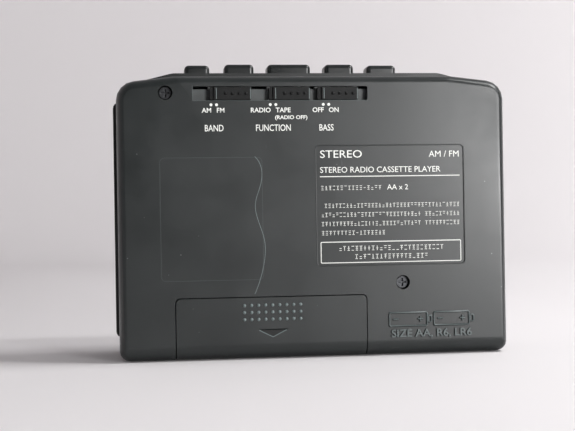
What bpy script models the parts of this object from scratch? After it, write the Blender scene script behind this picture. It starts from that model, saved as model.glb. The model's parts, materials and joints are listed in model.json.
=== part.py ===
"""Personal radio cassette player, modelled as its separate parts.

The player stands on its long bottom edge. +X is to the right when looking at its back,
+Y points from the back cover to the cassette door, and +Z points up to the piano keys.
The origin is at the middle of the footprint. Sizes below are in millimetres, and
make_object() turns them into metres.
"""

import math

import bmesh
import bpy
from mathutils import Matrix, Vector

# ---------------------------------------------------------------- driving dimensions (mm)

MM = 0.001

# Case
CASE_WIDTH = 121.2
CASE_HEIGHT = 87.0
CASE_DEPTH = 36.0
WALL = 2.0
GAP = 0.3
SHOULDER_DROP = 2.0          # height lost between the flat top and the corners
SHOULDER_RUN = 15.0          # length of each sloping shoulder
TOP_CORNER_RADIUS = 6.0
FOOT_CORNER_RADIUS = 3.25
SIDE_EDGE_RADIUS = 2.5       # rounding of the back face into the sides and the top
FOOT_EDGE_RADIUS = 5.0       # rounding of the back face into the bottom
SPLIT_Y = -2.0               # where the two half shells meet
HUMP_HEIGHT = 2.4            # how far the key ledge stands above the back shell
HUMP_SETBACK = 8.6           # from each side of the case to the foot of the ledge
HUMP_SLOPE_RUN = 9.0
HUMP_BLEND_RADIUS = 8.0
RIB = 1.2                    # thickness of the inner ribs and ledges
OVERLAP = 0.5                # how far joined solids reach into each other

# Cassette door and its bay
TAPE_WIDTH = 100.4
TAPE_HEIGHT = 63.8
TAPE_FIT = 0.6               # clearance each side of the cassette
DOOR_THICKNESS = 1.8
DOOR_WING = 1.0              # thickness of the door's side strips
DOOR_STEP = 2.3              # from the front shell's face to the door's
DOOR_LOW_Z = 5.5
DOOR_TOP_DROP = 6.0          # from the top of the case to the top of the door
DOOR_WING_DEPTH = 12.0
DOOR_CORNER_RADIUS = 2.0
HINGE_SETBACK = 4.5          # from the door's face to its hinge
HINGE_Z = 8.0
HINGE_PIN_RADIUS = 1.25
DOOR_OPEN_ANGLE = 40.0
BAY_FLOOR_Z = 10.0           # underside of the cassette when the door is closed
BAY_HEADROOM = 3.2           # above the cassette, for the heads
HOLDER_WALL = 1.0
HOLDER_FLOOR = 1.4
HOLDER_RIM = 3.0             # frame left round the holder's openings
WINDOW_WIDTH = 58.0
WINDOW_HEIGHT = 24.0
WINDOW_CORNER_RADIUS = 2.5
WINDOW_THICKNESS = 1.2

# Chassis
CHASSIS_Y = 1.5
CHASSIS_THICKNESS = 1.2
CHASSIS_TOP_DROP = 9.0       # from the top of the case to the top of the plate
CHASSIS_SCREW_INSET = 2.4
CHASSIS_SCREW_LOW_Z = 24.0
CHASSIS_SCREW_HIGH_Z = 72.0
STUD_RADIUS = 1.0            # pivots that stand on the plate
REEL_SPACING = 42.5
REEL_RISE = 30.0             # from the bay's floor to the reels
CAPSTAN_SPACING = 44.0
CAPSTAN_RISE = 29.0          # from the reels to the capstans
CAPSTAN_RADIUS = 1.0

# Keys: centre and width of each, from left to right, and its rise above the ledge
KEYS = (
    ("button_direction", -35.0, 8.0, 2.9),
    ("button_rewind", -21.5, 9.5, 3.2),
    ("button_play", -5.4, 14.0, 3.2),
    ("button_fast_forward", 11.0, 9.5, 3.2),
    ("button_stop", 24.9, 9.6, 2.9),
)
KEY_CORNER_RADIUS = 1.4
KEY_COLLAR = 0.8             # the collar under the ledge that keeps a key in
KEY_TAIL_WIDTH = 6.0
KEY_LOW_Y = 0.8
KEY_DEPTH = 7.4
KEY_SPRING_LENGTH = 3.8
KEY_SPRING_RADIUS = 1.5

# Slide switches in the back
SLOT_LEFT_X = -37.5
SLOT_RIGHT_X = 16.5
SLOT_DROP = 5.7              # from the top of the case to the middle of the slot
SLOT_HEIGHT = 4.4
STRIP_THICKNESS = 0.8
SWITCH_CENTRES = (("band", -25.9), ("function", -7.75), ("bass", 7.25))
KNOB_WIDTH = 12.7
KNOB_TRAVEL = 1.65
KNOB_FIT = 0.25              # above and below a knob in the slot
STEM_WIDTH = 2.4
SWITCH_WIDTH = 13.2

# Battery compartment
CELL_RADIUS = 7.1
CELL_LENGTH = 50.2
CELL_FIT_BACK = 0.4          # between the cells and the back wall
CELL_FIT_FOOT = 0.9          # between the cells and the bottom wall
CONTACT_THICKNESS = 0.5
COVER_LEFT_X = -43.7
COVER_RIGHT_X = 15.5
COVER_RISE = 2.1             # from the top of the cells to the top of the cover
COVER_FIT = 0.2
COVER_FOOT_DEPTH = 13.0      # how far the cover reaches under the player
COVER_CORNER_RADIUS = 1.5
ARROW_X = -13.9              # thumb arrow sunk in the cover
ARROW_DROP = 11.3            # from the top of the cover to the arrow
ARROW_DEPTH = 0.4

# Controls on the right-hand side
TUNING_WHEEL_RADIUS = 12.0
TUNING_WHEEL_Z = 40.0
VOLUME_WHEEL_RADIUS = 8.0
VOLUME_WHEEL_Z = 65.0
WHEEL_PROUD = 1.1            # how far a wheel stands out of the side wall
WHEEL_THICKNESS = 3.4
WHEEL_INSET = 3.0            # from the split line to the middle of a wheel
JACK_INSET = 4.0
JACK_DROP = 9.0              # from the top of the case to the socket
JACK_RADIUS = 2.9
JACK_BORE_RADIUS = 1.75

# Drive
FLYWHEEL_RADIUS = 12.0
FLYWHEEL_THICKNESS = 4.2
CAPSTAN_TAIL = 0.6           # end of a capstan behind its flywheel
BELT_WIDTH = 1.4
BELT_THICKNESS = 0.8
BELT_GROOVE = 0.8
MOTOR_RADIUS = 11.0
MOTOR_X = -45.0
MOTOR_Z = 40.0
MOTOR_PULLEY_RADIUS = 2.4
BELT_IDLER_RADIUS = 3.4
BELT_IDLER_OUT = 16.0        # from the right capstan, sideways and down
BELT_IDLER_DOWN = 10.5
PULLEY_BORE_RADIUS = 1.3
GEAR_SETBACK = 5.1           # from the chassis to the far face of the gears
GEAR_THICKNESS = 1.8
GEAR_MODULE = 0.7
PINION_TEETH = 10
HUB_TEETH = 28

# Circuit board
BOARD_SETBACK = 7.4          # from the back of the case
BOARD_THICKNESS = 1.2
BOARD_INSET = 5.6            # from each side of the case
SCREW_SINK = 3.0
SCREW_HEAD_HEIGHT = 1.2
SCREW_HEAD_RADIUS = 1.9
SCREW_SHANK_RADIUS = 1.0
SCREW_HOLE_RADIUS = 2.2
SCREW_BOSS_WALL = 1.3
SCREW_CROSS_LENGTH = 2.4
SCREW_CROSS_WIDTH = 0.5
LEFT_SCREW_X = -45.7
LEFT_SCREW_DROP = 5.4        # from the top of the case
RIGHT_SCREW_X = 26.8
RIGHT_SCREW_RISE = 3.4       # above the battery cover
LABEL_LEFT_X = 0.0
LABEL_RIGHT_X = 46.7
LABEL_LOW_Z = 28.1
LABEL_HIGH_Z = 65.2
LABEL_DEPTH = 0.3

# ------------------------------------------------------------------- derived dimensions

HALF_WIDTH = CASE_WIDTH / 2
BACK_Y = -CASE_DEPTH / 2
FRONT_Y = CASE_DEPTH / 2
INNER_BACK_Y = BACK_Y + WALL
SHELL_FRONT_Y = FRONT_Y - DOOR_STEP
HUMP_Z = CASE_HEIGHT + HUMP_HEIGHT
HUMP_HALF_WIDTH = HALF_WIDTH - HUMP_SETBACK
DOOR_HALF_WIDTH = HALF_WIDTH + GAP + DOOR_WING
DOOR_HIGH_Z = CASE_HEIGHT - DOOR_TOP_DROP
HINGE_Y = FRONT_Y - HINGE_SETBACK
LIP_Z = WALL + 2 * GAP       # top of the front shell's lip under the door
CHASSIS_FRONT_Y = CHASSIS_Y + CHASSIS_THICKNESS
CELL_Y = INNER_BACK_Y + CELL_FIT_BACK + CELL_RADIUS
CELL_Z = WALL + CELL_FIT_FOOT + CELL_RADIUS
COVER_TOP_Z = CELL_Z + CELL_RADIUS + COVER_RISE
PARTITION_Z = CELL_Z + CELL_RADIUS + GAP
BAY_TOP_Z = BAY_FLOOR_Z + TAPE_HEIGHT + BAY_HEADROOM
HOLDER_HALF_WIDTH = TAPE_WIDTH / 2 + TAPE_FIT
BAY_HALF_WIDTH = HOLDER_HALF_WIDTH + HOLDER_WALL + 1.2
HOLDER_BACK_Y = CHASSIS_FRONT_Y + 0.5
REEL_Z = BAY_FLOOR_Z + REEL_RISE
CAPSTAN_Z = REEL_Z + CAPSTAN_RISE
WHEEL_Y = SPLIT_Y - WHEEL_INSET
JACK_Y = SPLIT_Y - JACK_INSET
JACK_Z = CASE_HEIGHT - JACK_DROP
SLOT_Z = CASE_HEIGHT - SLOT_DROP
CASE_SCREWS = (
    ("back_screw_left", LEFT_SCREW_X, CASE_HEIGHT - LEFT_SCREW_DROP),
    ("back_screw_right", RIGHT_SCREW_X, COVER_TOP_Z + RIGHT_SCREW_RISE),
)
BOARD_Y = BACK_Y + BOARD_SETBACK
BOARD_FACE_Y = BOARD_Y + BOARD_THICKNESS
FLYWHEEL_Y = BOARD_FACE_Y + CAPSTAN_TAIL + FLYWHEEL_THICKNESS / 2
GEAR_LOW_Y = CHASSIS_Y - GEAR_SETBACK
BELT_IDLER_X = CAPSTAN_SPACING / 2 + BELT_IDLER_OUT
BELT_IDLER_Z = CAPSTAN_Z - BELT_IDLER_DOWN
CHASSIS_HALF_WIDTH = HALF_WIDTH - WALL - 1.0
CHASSIS_SCREW_X = CHASSIS_HALF_WIDTH - CHASSIS_SCREW_INSET
CHASSIS_SCREWS = ((-CHASSIS_SCREW_X, CHASSIS_SCREW_LOW_Z), (CHASSIS_SCREW_X, CHASSIS_SCREW_HIGH_Z))
KEY_CAP_LOW_Z = CASE_HEIGHT - 4.0
SPRING_SEAT_Z = CAPSTAN_Z + 6.2
KEY_FOOT_Z = SPRING_SEAT_Z + KEY_SPRING_LENGTH
KEY_TAIL_Y = KEY_LOW_Y - 1.9  # middle of the tail that the spring pushes up
HEAD_PLATE_Y = CHASSIS_FRONT_Y + 0.4
HEAD_LOW_Z = BAY_FLOOR_Z + TAPE_HEIGHT + 1.6
CAPSTAN_END_Y = FRONT_Y - 6.8
PINCH_ARM_Y = HEAD_PLATE_Y + 1.0
PINCH_PIVOT_X = CAPSTAN_SPACING / 2 + 11.0
PINCH_PIVOT_Z = CAPSTAN_Z + 7.5
PINCH_ROLLER_Z = CAPSTAN_Z + 7.2
PINCH_ROLLER_RADIUS = 2.6

# ------------------------------------------------------------------------ 2D outlines


def circle(u, v, radius, sides=32):
    """Points of a circle, anticlockwise."""
    step = 2 * math.pi / sides
    return [(u + radius * math.cos(i * step), v + radius * math.sin(i * step)) for i in range(sides)]


def fillet(corners, radii, steps=4):
    """Round each corner of an anticlockwise convex outline."""
    points = []
    count = len(corners)
    for i, corner in enumerate(corners):
        here = Vector(corner)
        before = (Vector(corners[i - 1]) - here).normalized()
        after = (Vector(corners[(i + 1) % count]) - here).normalized()
        radius = radii[i]
        half_angle = before.angle(after) / 2
        centre = here + (before + after).normalized() * (radius / math.sin(half_angle))
        start = here + before * (radius / math.tan(half_angle)) - centre
        sweep = math.pi - 2 * half_angle
        for k in range(steps + 1):
            turned = Matrix.Rotation(sweep * k / steps, 2) @ start
            points.append(tuple(centre + turned))
    return points


def rounded_box(u0, u1, v0, v1, radius, steps=4):
    return fillet([(u0, v0), (u1, v0), (u1, v1), (u0, v1)], [radius] * 4, steps)


def case_outline(side, foot, top, hump=False):
    """Outline of the case in X and Z, moved inwards at its sides, foot and top."""
    w = HALF_WIDTH - side
    z = CASE_HEIGHT - top
    low = z - SHOULDER_DROP
    peak = z + (HUMP_HEIGHT if hump else 0)
    run = (HUMP_HALF_WIDTH - HUMP_SLOPE_RUN) if hump else (w - TOP_CORNER_RADIUS - SHOULDER_RUN + 4)
    corners = [(-w, foot), (w, foot), (w, low), (run, peak), (-run, peak), (-w, low)]
    high = max(TOP_CORNER_RADIUS - max(side, top), 1.0)
    base = max(FOOT_CORNER_RADIUS - max(side, foot), 0.6)
    return fillet(corners, [base, base, high, HUMP_BLEND_RADIUS, HUMP_BLEND_RADIUS, high])


# ------------------------------------------------------------------------ 3D shapes


def lift(axis, u, v, level):
    """A 2D point as a 3D one: X extrudes (y, z), Y extrudes (x, z), Z extrudes (x, y)."""
    if axis == "X":
        return Vector((level, u, v)) * MM
    if axis == "Y":
        return Vector((u, level, v)) * MM
    return Vector((u, v, level)) * MM


def loft(axis, sections):
    """Closed body through outlines of equal point count, given as (level, outline)."""
    mesh = bmesh.new()
    rings = []
    for level, outline in sections:
        rings.append([mesh.verts.new(lift(axis, u, v, level)) for u, v in outline])
    count = len(rings[0])
    for low, high in zip(rings, rings[1:]):
        for i in range(count):
            j = (i + 1) % count
            mesh.faces.new((low[i], low[j], high[j], high[i]))
    mesh.faces.new(rings[0])
    mesh.faces.new(rings[-1])
    bmesh.ops.recalc_face_normals(mesh, faces=mesh.faces)
    data = bpy.data.meshes.new("shape")
    mesh.to_mesh(data)
    mesh.free()
    shape = bpy.data.objects.new("shape", data)
    bpy.context.collection.objects.link(shape)
    return shape


def extrude(axis, outline, low, high):
    return loft(axis, [(low, outline), (high, outline)])


def box(x0, x1, y0, y1, z0, z1):
    return extrude("Z", [(x0, y0), (x1, y0), (x1, y1), (x0, y1)], z0, z1)


def rod(axis, centre, radius, low, high, sides=24):
    return extrude(axis, circle(*centre, radius, sides), low, high)


def turned(axis, centre, profile, sides=24):
    """Turned body from (radius, level) steps along the axis."""
    return loft(axis, [(level, circle(*centre, radius, sides)) for radius, level in profile])


def combine(shape, tools, operation):
    """Boolean each tool with the shape, then drop the tools."""
    for tool in tools:
        modifier = shape.modifiers.new("join", "BOOLEAN")
        modifier.operation = operation
        modifier.solver = "EXACT"
        modifier.object = tool
        bpy.context.view_layer.update()
        evaluated = shape.evaluated_get(bpy.context.evaluated_depsgraph_get())
        result = bpy.data.meshes.new_from_object(evaluated)
        shape.modifiers.clear()
        shape.data = result
        bpy.data.objects.remove(tool)
    return shape


def cut(shape, *tools):
    return combine(shape, tools, "DIFFERENCE")


def join(shape, *tools):
    return combine(shape, tools, "UNION")


def common(shape, tool):
    return combine(shape, [tool], "INTERSECT")


# ------------------------------------------------------------------------ materials

FINISHES = {
    "case_plastic": ((0.045, 0.052, 0.056), 0.55, 0.0),
    "black_plastic": ((0.012, 0.012, 0.013), 0.35, 0.0),
    "key_plastic": ((0.030, 0.034, 0.037), 0.3, 0.0),
    "grey_strip": ((0.16, 0.17, 0.17), 0.5, 0.0),
    "window_clear": ((0.1, 0.1, 0.11), 0.08, 0.0),
    "steel": ((0.45, 0.45, 0.46), 0.35, 1.0),
    "brass": ((0.62, 0.47, 0.22), 0.35, 1.0),
    "white_plastic": ((0.62, 0.62, 0.58), 0.45, 0.0),
    "rubber": ((0.015, 0.015, 0.015), 0.8, 0.0),
    "board": ((0.30, 0.20, 0.08), 0.6, 0.0),
    "ferrite": ((0.05, 0.045, 0.045), 0.7, 0.0),
    "cell_jacket": ((0.08, 0.10, 0.16), 0.35, 0.0),
}


def finish(name):
    """The Principled material of that name, made once."""
    existing = bpy.data.materials.get(name)
    if existing:
        return existing
    colour, roughness, metallic = FINISHES[name]
    material = bpy.data.materials.new(name)
    material.use_nodes = True
    shader = material.node_tree.nodes["Principled BSDF"]
    shader.inputs["Base Color"].default_value = (*colour, 1.0)
    shader.inputs["Roughness"].default_value = roughness
    shader.inputs["Metallic"].default_value = metallic
    return material


def name_part(shape, name, material, origin=(0.0, 0.0, 0.0)):
    """Finish a sub-part: weld it, move its origin to its joint, name it and colour it."""
    place = Vector(origin) * MM
    mesh = bmesh.new()
    mesh.from_mesh(shape.data)
    bmesh.ops.remove_doubles(mesh, verts=mesh.verts, dist=0.00001)
    bmesh.ops.dissolve_degenerate(mesh, edges=mesh.edges, dist=0.00001)
    bmesh.ops.translate(mesh, verts=mesh.verts, vec=-place)
    mesh.to_mesh(shape.data)
    mesh.free()
    shape.location = place
    shape.name = name
    shape.data.name = name
    shape.data.materials.clear()
    shape.data.materials.append(finish(material))
    shape.data.shade_smooth()
    shape.data.set_sharp_from_angle(angle=math.radians(35))
    return shape


# ------------------------------------------------------------------------ the case


def shell_sections(inset, deepest, hump=False):
    """Sections of the back shell from its rounded back face to the split line."""
    sections = []
    steps = 4
    for i in range(steps + 1):
        angle = math.pi / 2 * i / steps
        side = (SIDE_EDGE_RADIUS - inset) * (1 - math.sin(angle)) if SIDE_EDGE_RADIUS > inset else 0
        foot = (FOOT_EDGE_RADIUS - inset) * (1 - math.sin(angle))
        depth = (FOOT_EDGE_RADIUS - inset) * (1 - math.cos(angle))
        outline = case_outline(side + inset, foot + inset, side + inset, hump)
        sections.append((BACK_Y + inset + depth, outline))
    sections.append((deepest, case_outline(inset, inset, inset, hump)))
    return sections


def back_wall():
    """The back shell before its openings are cut."""
    outer = loft("Y", shell_sections(0.0, SPLIT_Y))
    return cut(outer, loft("Y", shell_sections(WALL, SPLIT_Y + 1.0)))


def cover_block(margin):
    """The piece of the shell that the battery cover takes up, shrunk by a margin."""
    foot_y = BACK_Y + COVER_FOOT_DEPTH - margin
    low = fillet(
        [
            (COVER_LEFT_X + margin, -5.0),
            (COVER_RIGHT_X - margin, -5.0),
            (COVER_RIGHT_X - margin, COVER_TOP_Z - margin),
            (COVER_LEFT_X + margin, COVER_TOP_Z - margin),
        ],
        [0.5, 0.5, COVER_CORNER_RADIUS, COVER_CORNER_RADIUS],
    )
    return extrude("Y", low, BACK_Y - 5.0, foot_y)


def screw_boss(x, z):
    return rod("Y", (x, z), SCREW_HOLE_RADIUS + SCREW_BOSS_WALL, INNER_BACK_Y - OVERLAP, SPLIT_Y - GAP)


def build_back_shell():
    shell = back_wall()
    inner = HALF_WIDTH - WALL + OVERLAP
    partition = box(-inner, inner, INNER_BACK_Y - OVERLAP, BOARD_Y - 2 * GAP, PARTITION_Z, PARTITION_Z + RIB)
    shell = join(shell, partition, *[screw_boss(x, z) for _, x, z in CASE_SCREWS])
    shell = cut(shell, cover_block(0.0))
    slot = rounded_box(SLOT_LEFT_X, SLOT_RIGHT_X, SLOT_Z - SLOT_HEIGHT / 2, SLOT_Z + SLOT_HEIGHT / 2, 0.6)
    label = rounded_box(LABEL_LEFT_X, LABEL_RIGHT_X, LABEL_LOW_Z, LABEL_HIGH_Z, 1.2)
    shell = cut(
        shell,
        extrude("Y", slot, BACK_Y - 1, INNER_BACK_Y + 1),
        extrude("Y", label, BACK_Y - 1, BACK_Y + LABEL_DEPTH),
        wheel_slot(TUNING_WHEEL_RADIUS, TUNING_WHEEL_Z),
        wheel_slot(VOLUME_WHEEL_RADIUS, VOLUME_WHEEL_Z),
        rod("X", (JACK_Y, JACK_Z), JACK_RADIUS + GAP, HALF_WIDTH - 6, HALF_WIDTH + 1),
    )
    for _, x, z in CASE_SCREWS:
        shell = cut(
            shell,
            rod("Y", (x, z), SCREW_HOLE_RADIUS, BACK_Y - 1, BACK_Y + SCREW_SINK),
            rod("Y", (x, z), SCREW_SHANK_RADIUS + GAP, BACK_Y, SPLIT_Y + 1, 16),
        )
    return name_part(shell, "back_shell", "case_plastic")


def wheel_x(radius):
    return HALF_WIDTH + WHEEL_PROUD - radius


def wheel_slot(radius, z):
    """Slot in the side wall that a wheel looks out of."""
    reach = HALF_WIDTH - WALL - wheel_x(radius)
    half = math.sqrt(radius * radius - reach * reach) + 2 * GAP
    low = WHEEL_Y - WHEEL_THICKNESS / 2 - GAP
    high = WHEEL_Y + WHEEL_THICKNESS / 2 + GAP
    return box(HALF_WIDTH - WALL - 1, HALF_WIDTH + 1, low, high, z - half, z + half)


def build_battery_cover():
    cover = common(back_wall(), cover_block(COVER_FIT))
    notch = [(-4.2, 1.2), (0.0, -0.9), (4.2, 1.2)]
    arrow = [(x + ARROW_X, z + COVER_TOP_Z - ARROW_DROP) for x, z in notch]
    cover = cut(cover, extrude("Y", arrow, BACK_Y - 1, BACK_Y + ARROW_DEPTH))
    return name_part(cover, "battery_cover", "case_plastic", (ARROW_X, BACK_Y, COVER_TOP_Z))


def door_sweep():
    """Corner of the side walls that the door's lower edge swings through."""
    turn = Matrix.Rotation(-math.radians(DOOR_OPEN_ANGLE), 2)
    inner_face = FRONT_Y - DOOR_THICKNESS - HINGE_Y - GAP
    corner = Vector((HINGE_Y, HINGE_Z)) + turn @ Vector((inner_face, DOOR_LOW_Z - HINGE_Z))
    end = corner + turn @ Vector((0.0, 6.0))
    low = [(corner.x, LIP_Z), (end.x, LIP_Z), tuple(end), tuple(corner)]
    return extrude("X", low, -HALF_WIDTH - 1, HALF_WIDTH + 1)


def build_front_shell():
    back = SPLIT_Y + GAP
    shell = extrude("Y", case_outline(0, 0, 0, True), back, SHELL_FRONT_Y)
    cavity = extrude("Y", case_outline(WALL, WALL, WALL, True), back - 1, SHELL_FRONT_Y - DOOR_THICKNESS)
    bay = box(-BAY_HALF_WIDTH, BAY_HALF_WIDTH, CHASSIS_FRONT_Y + 2.3, SHELL_FRONT_Y + 1, HINGE_Z, BAY_TOP_Z)
    shell = cut(shell, cavity, bay)
    inner = HALF_WIDTH - WALL
    groove = box(-inner, inner, HINGE_Y - 1.2, SHELL_FRONT_Y + 1, LIP_Z, HINGE_Z + 0.5)
    shell = cut(shell, groove, door_sweep())
    ledge = box(-inner - OVERLAP, inner + OVERLAP, HINGE_Y - 3.0, HINGE_Y - 1.7, WALL - OVERLAP,
                BAY_FLOOR_Z - HOLDER_FLOOR - GAP)
    shell = join(shell, ledge)
    side = inner - 0.5
    for x, z in CHASSIS_SCREWS:
        boss = rod("Y", (x, z), CHASSIS_SCREW_INSET, CHASSIS_FRONT_Y + GAP, SHELL_FRONT_Y - 1.0)
        shell = join(shell, boss)
        shell = cut(shell, rod("Y", (x, z), SCREW_SHANK_RADIUS + GAP, 0, CHASSIS_FRONT_Y + 6, 16))
    for sign in (-1, 1):
        middle = sign * side
        shell = cut(shell, rod("X", (HINGE_Y, HINGE_Z), HINGE_PIN_RADIUS + GAP, middle - 4, middle + 4))
    for _, x, width, _ in KEYS:
        reach = width / 2 + GAP
        hole = box(x - reach, x + reach, KEY_LOW_Y - GAP, KEY_LOW_Y + KEY_DEPTH + GAP,
                   HUMP_Z - WALL - 2, HUMP_Z + 2)
        shell = cut(shell, hole)
    return name_part(shell, "front_shell", "case_plastic")


def build_case_screws():
    for name, x, z in CASE_SCREWS:
        seat = BACK_Y + SCREW_SINK - GAP
        top = seat - SCREW_HEAD_HEIGHT
        screw = turned("Y", (x, z), [(SCREW_HEAD_RADIUS, top), (SCREW_HEAD_RADIUS, seat),
                                     (SCREW_SHANK_RADIUS, seat + 0.01), (SCREW_SHANK_RADIUS, SPLIT_Y - 1.0)], 20)
        arm = SCREW_CROSS_LENGTH / 2
        thin = SCREW_CROSS_WIDTH / 2
        low = top + SCREW_HEAD_HEIGHT / 2
        cross = (box(x - arm, x + arm, top - 1, low, z - thin, z + thin),
                 box(x - thin, x + thin, top - 1, low, z - arm, z + arm))
        name_part(cut(screw, *cross), name, "black_plastic")


# ------------------------------------------------------------------------ the door


def build_door():
    inner = HALF_WIDTH + GAP
    panel = rounded_box(-DOOR_HALF_WIDTH, DOOR_HALF_WIDTH, DOOR_LOW_Z, DOOR_HIGH_Z, DOOR_CORNER_RADIUS)
    door = extrude("Y", panel, FRONT_Y - DOOR_WING_DEPTH, FRONT_Y)
    hollow = box(-inner, inner, FRONT_Y - DOOR_WING_DEPTH - 1, FRONT_Y - DOOR_THICKNESS,
                 DOOR_LOW_Z - 1, DOOR_HIGH_Z + 1)
    door = cut(door, hollow, window_block(0.0, FRONT_Y - DOOR_THICKNESS - 1, FRONT_Y + 1))
    for sign in (-1, 1):
        pin_hole = rod("X", (HINGE_Y, HINGE_Z), HINGE_PIN_RADIUS + GAP, sign * inner - 2, sign * inner + 2)
        door = cut(door, pin_hole)
        pin_low = min(sign * (HALF_WIDTH - WALL - 0.5), sign * DOOR_HALF_WIDTH)
        pin_high = max(sign * (HALF_WIDTH - WALL - 0.5), sign * DOOR_HALF_WIDTH)
        pin = rod("X", (HINGE_Y, HINGE_Z), HINGE_PIN_RADIUS, pin_low, pin_high)
        side = "left" if sign < 0 else "right"
        name_part(pin, "door_hinge_pin_" + side, "steel", (pin_low, HINGE_Y, HINGE_Z))
    name_part(door, "cassette_door", "black_plastic", (0, HINGE_Y, HINGE_Z))
    window = window_block(GAP, FRONT_Y - WINDOW_THICKNESS - 0.2, FRONT_Y - 0.2)
    name_part(window, "door_window", "window_clear", (0, HINGE_Y, HINGE_Z))


def window_block(margin, low, high):
    half = WINDOW_WIDTH / 2 - margin
    centre = REEL_Z
    tall = WINDOW_HEIGHT / 2 - margin
    outline = rounded_box(-half, half, centre - tall, centre + tall, WINDOW_CORNER_RADIUS)
    return extrude("Y", outline, low, high)


def build_holder():
    """Open frame on the door's inside that the cassette slides down into."""
    half = HOLDER_HALF_WIDTH
    outside = half + HOLDER_WALL
    open_half = half - HOLDER_RIM
    open_low = BAY_FLOOR_Z + HOLDER_RIM + 1.0
    front = FRONT_Y - DOOR_THICKNESS - GAP
    back = HOLDER_BACK_Y
    outer = box(-outside, outside, back, front, BAY_FLOOR_Z - HOLDER_FLOOR, BAY_TOP_Z - 8.0)
    space = box(-half, half, back + HOLDER_WALL, front - 0.8, BAY_FLOOR_Z, BAY_TOP_Z)
    opening = box(-open_half, open_half, back - 1, back + 2, open_low, BAY_TOP_Z)
    sight = box(-open_half, open_half, front - 2, front + 1, open_low, BAY_TOP_Z)
    holder = cut(outer, space, opening, sight)
    name_part(holder, "cassette_holder", "black_plastic", (0, HINGE_Y, HINGE_Z))


# ------------------------------------------------------------------------ keys and switches


def helix(axis, centre, coil_radius, end_radius, wire, low, high, turns):
    """A coil spring as one closed tube whose radius may taper along its axis."""
    steps = 10 * turns
    sides = 5
    mesh = bmesh.new()
    rings = []
    for i in range(steps + 1):
        share = i / steps
        angle = 2 * math.pi * turns * share
        radius = coil_radius + (end_radius - coil_radius) * share
        level = low + wire + (high - low - 2 * wire) * share
        ring = []
        for k in range(sides):
            around = 2 * math.pi * k / sides
            reach = radius + wire * math.cos(around)
            u = centre[0] + reach * math.cos(angle)
            v = centre[1] + reach * math.sin(angle)
            ring.append(mesh.verts.new(lift(axis, u, v, level + wire * math.sin(around))))
        rings.append(ring)
    for first, second in zip(rings, rings[1:]):
        for k in range(sides):
            n = (k + 1) % sides
            mesh.faces.new((first[k], first[n], second[n], second[k]))
    mesh.faces.new(rings[0])
    mesh.faces.new(rings[-1])
    bmesh.ops.recalc_face_normals(mesh, faces=mesh.faces)
    data = bpy.data.meshes.new("spring")
    mesh.to_mesh(data)
    mesh.free()
    shape = bpy.data.objects.new("spring", data)
    bpy.context.collection.objects.link(shape)
    return shape


def build_keys():
    """Each key is a cap above the ledge, a collar under it and a tail on a spring."""
    tail_low = KEY_TAIL_Y - KEY_SPRING_RADIUS - 0.4
    for name, x, width, rise in KEYS:
        top = HUMP_Z + rise
        half = width / 2
        outline = fillet([(x - half, KEY_CAP_LOW_Z), (x + half, KEY_CAP_LOW_Z), (x + half, top), (x - half, top)],
                         [0.4, 0.4, KEY_CORNER_RADIUS, KEY_CORNER_RADIUS])
        cap = extrude("Y", outline, KEY_LOW_Y, KEY_LOW_Y + KEY_DEPTH)
        reach = half + KEY_COLLAR
        collar = box(x - reach, x + reach, KEY_LOW_Y - KEY_COLLAR, KEY_LOW_Y + KEY_DEPTH + KEY_COLLAR,
                     KEY_CAP_LOW_Z + OVERLAP, HUMP_Z - WALL - GAP)
        side = KEY_TAIL_WIDTH / 2
        tail = box(x - side, x + side, tail_low, KEY_LOW_Y + 0.2, KEY_FOOT_Z, KEY_CAP_LOW_Z + 1.0)
        name_part(join(cap, collar, tail), name, "key_plastic", (x, KEY_LOW_Y, top))
        spring = helix("Z", (x, KEY_TAIL_Y), KEY_SPRING_RADIUS, KEY_SPRING_RADIUS, 0.18, SPRING_SEAT_Z + 0.05,
                       KEY_FOOT_Z - 0.05, 3)
        name_part(spring, name.replace("button", "spring"), "steel", (x, KEY_TAIL_Y, SPRING_SEAT_Z))
    left = KEYS[0][1] - KEY_TAIL_WIDTH
    right = KEYS[-1][1] + KEY_TAIL_WIDTH
    rail = box(left, right, tail_low - 0.2, CHASSIS_Y - GAP, SPRING_SEAT_Z - RIB, SPRING_SEAT_Z)
    name_part(rail, "key_spring_rail", "steel")


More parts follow.
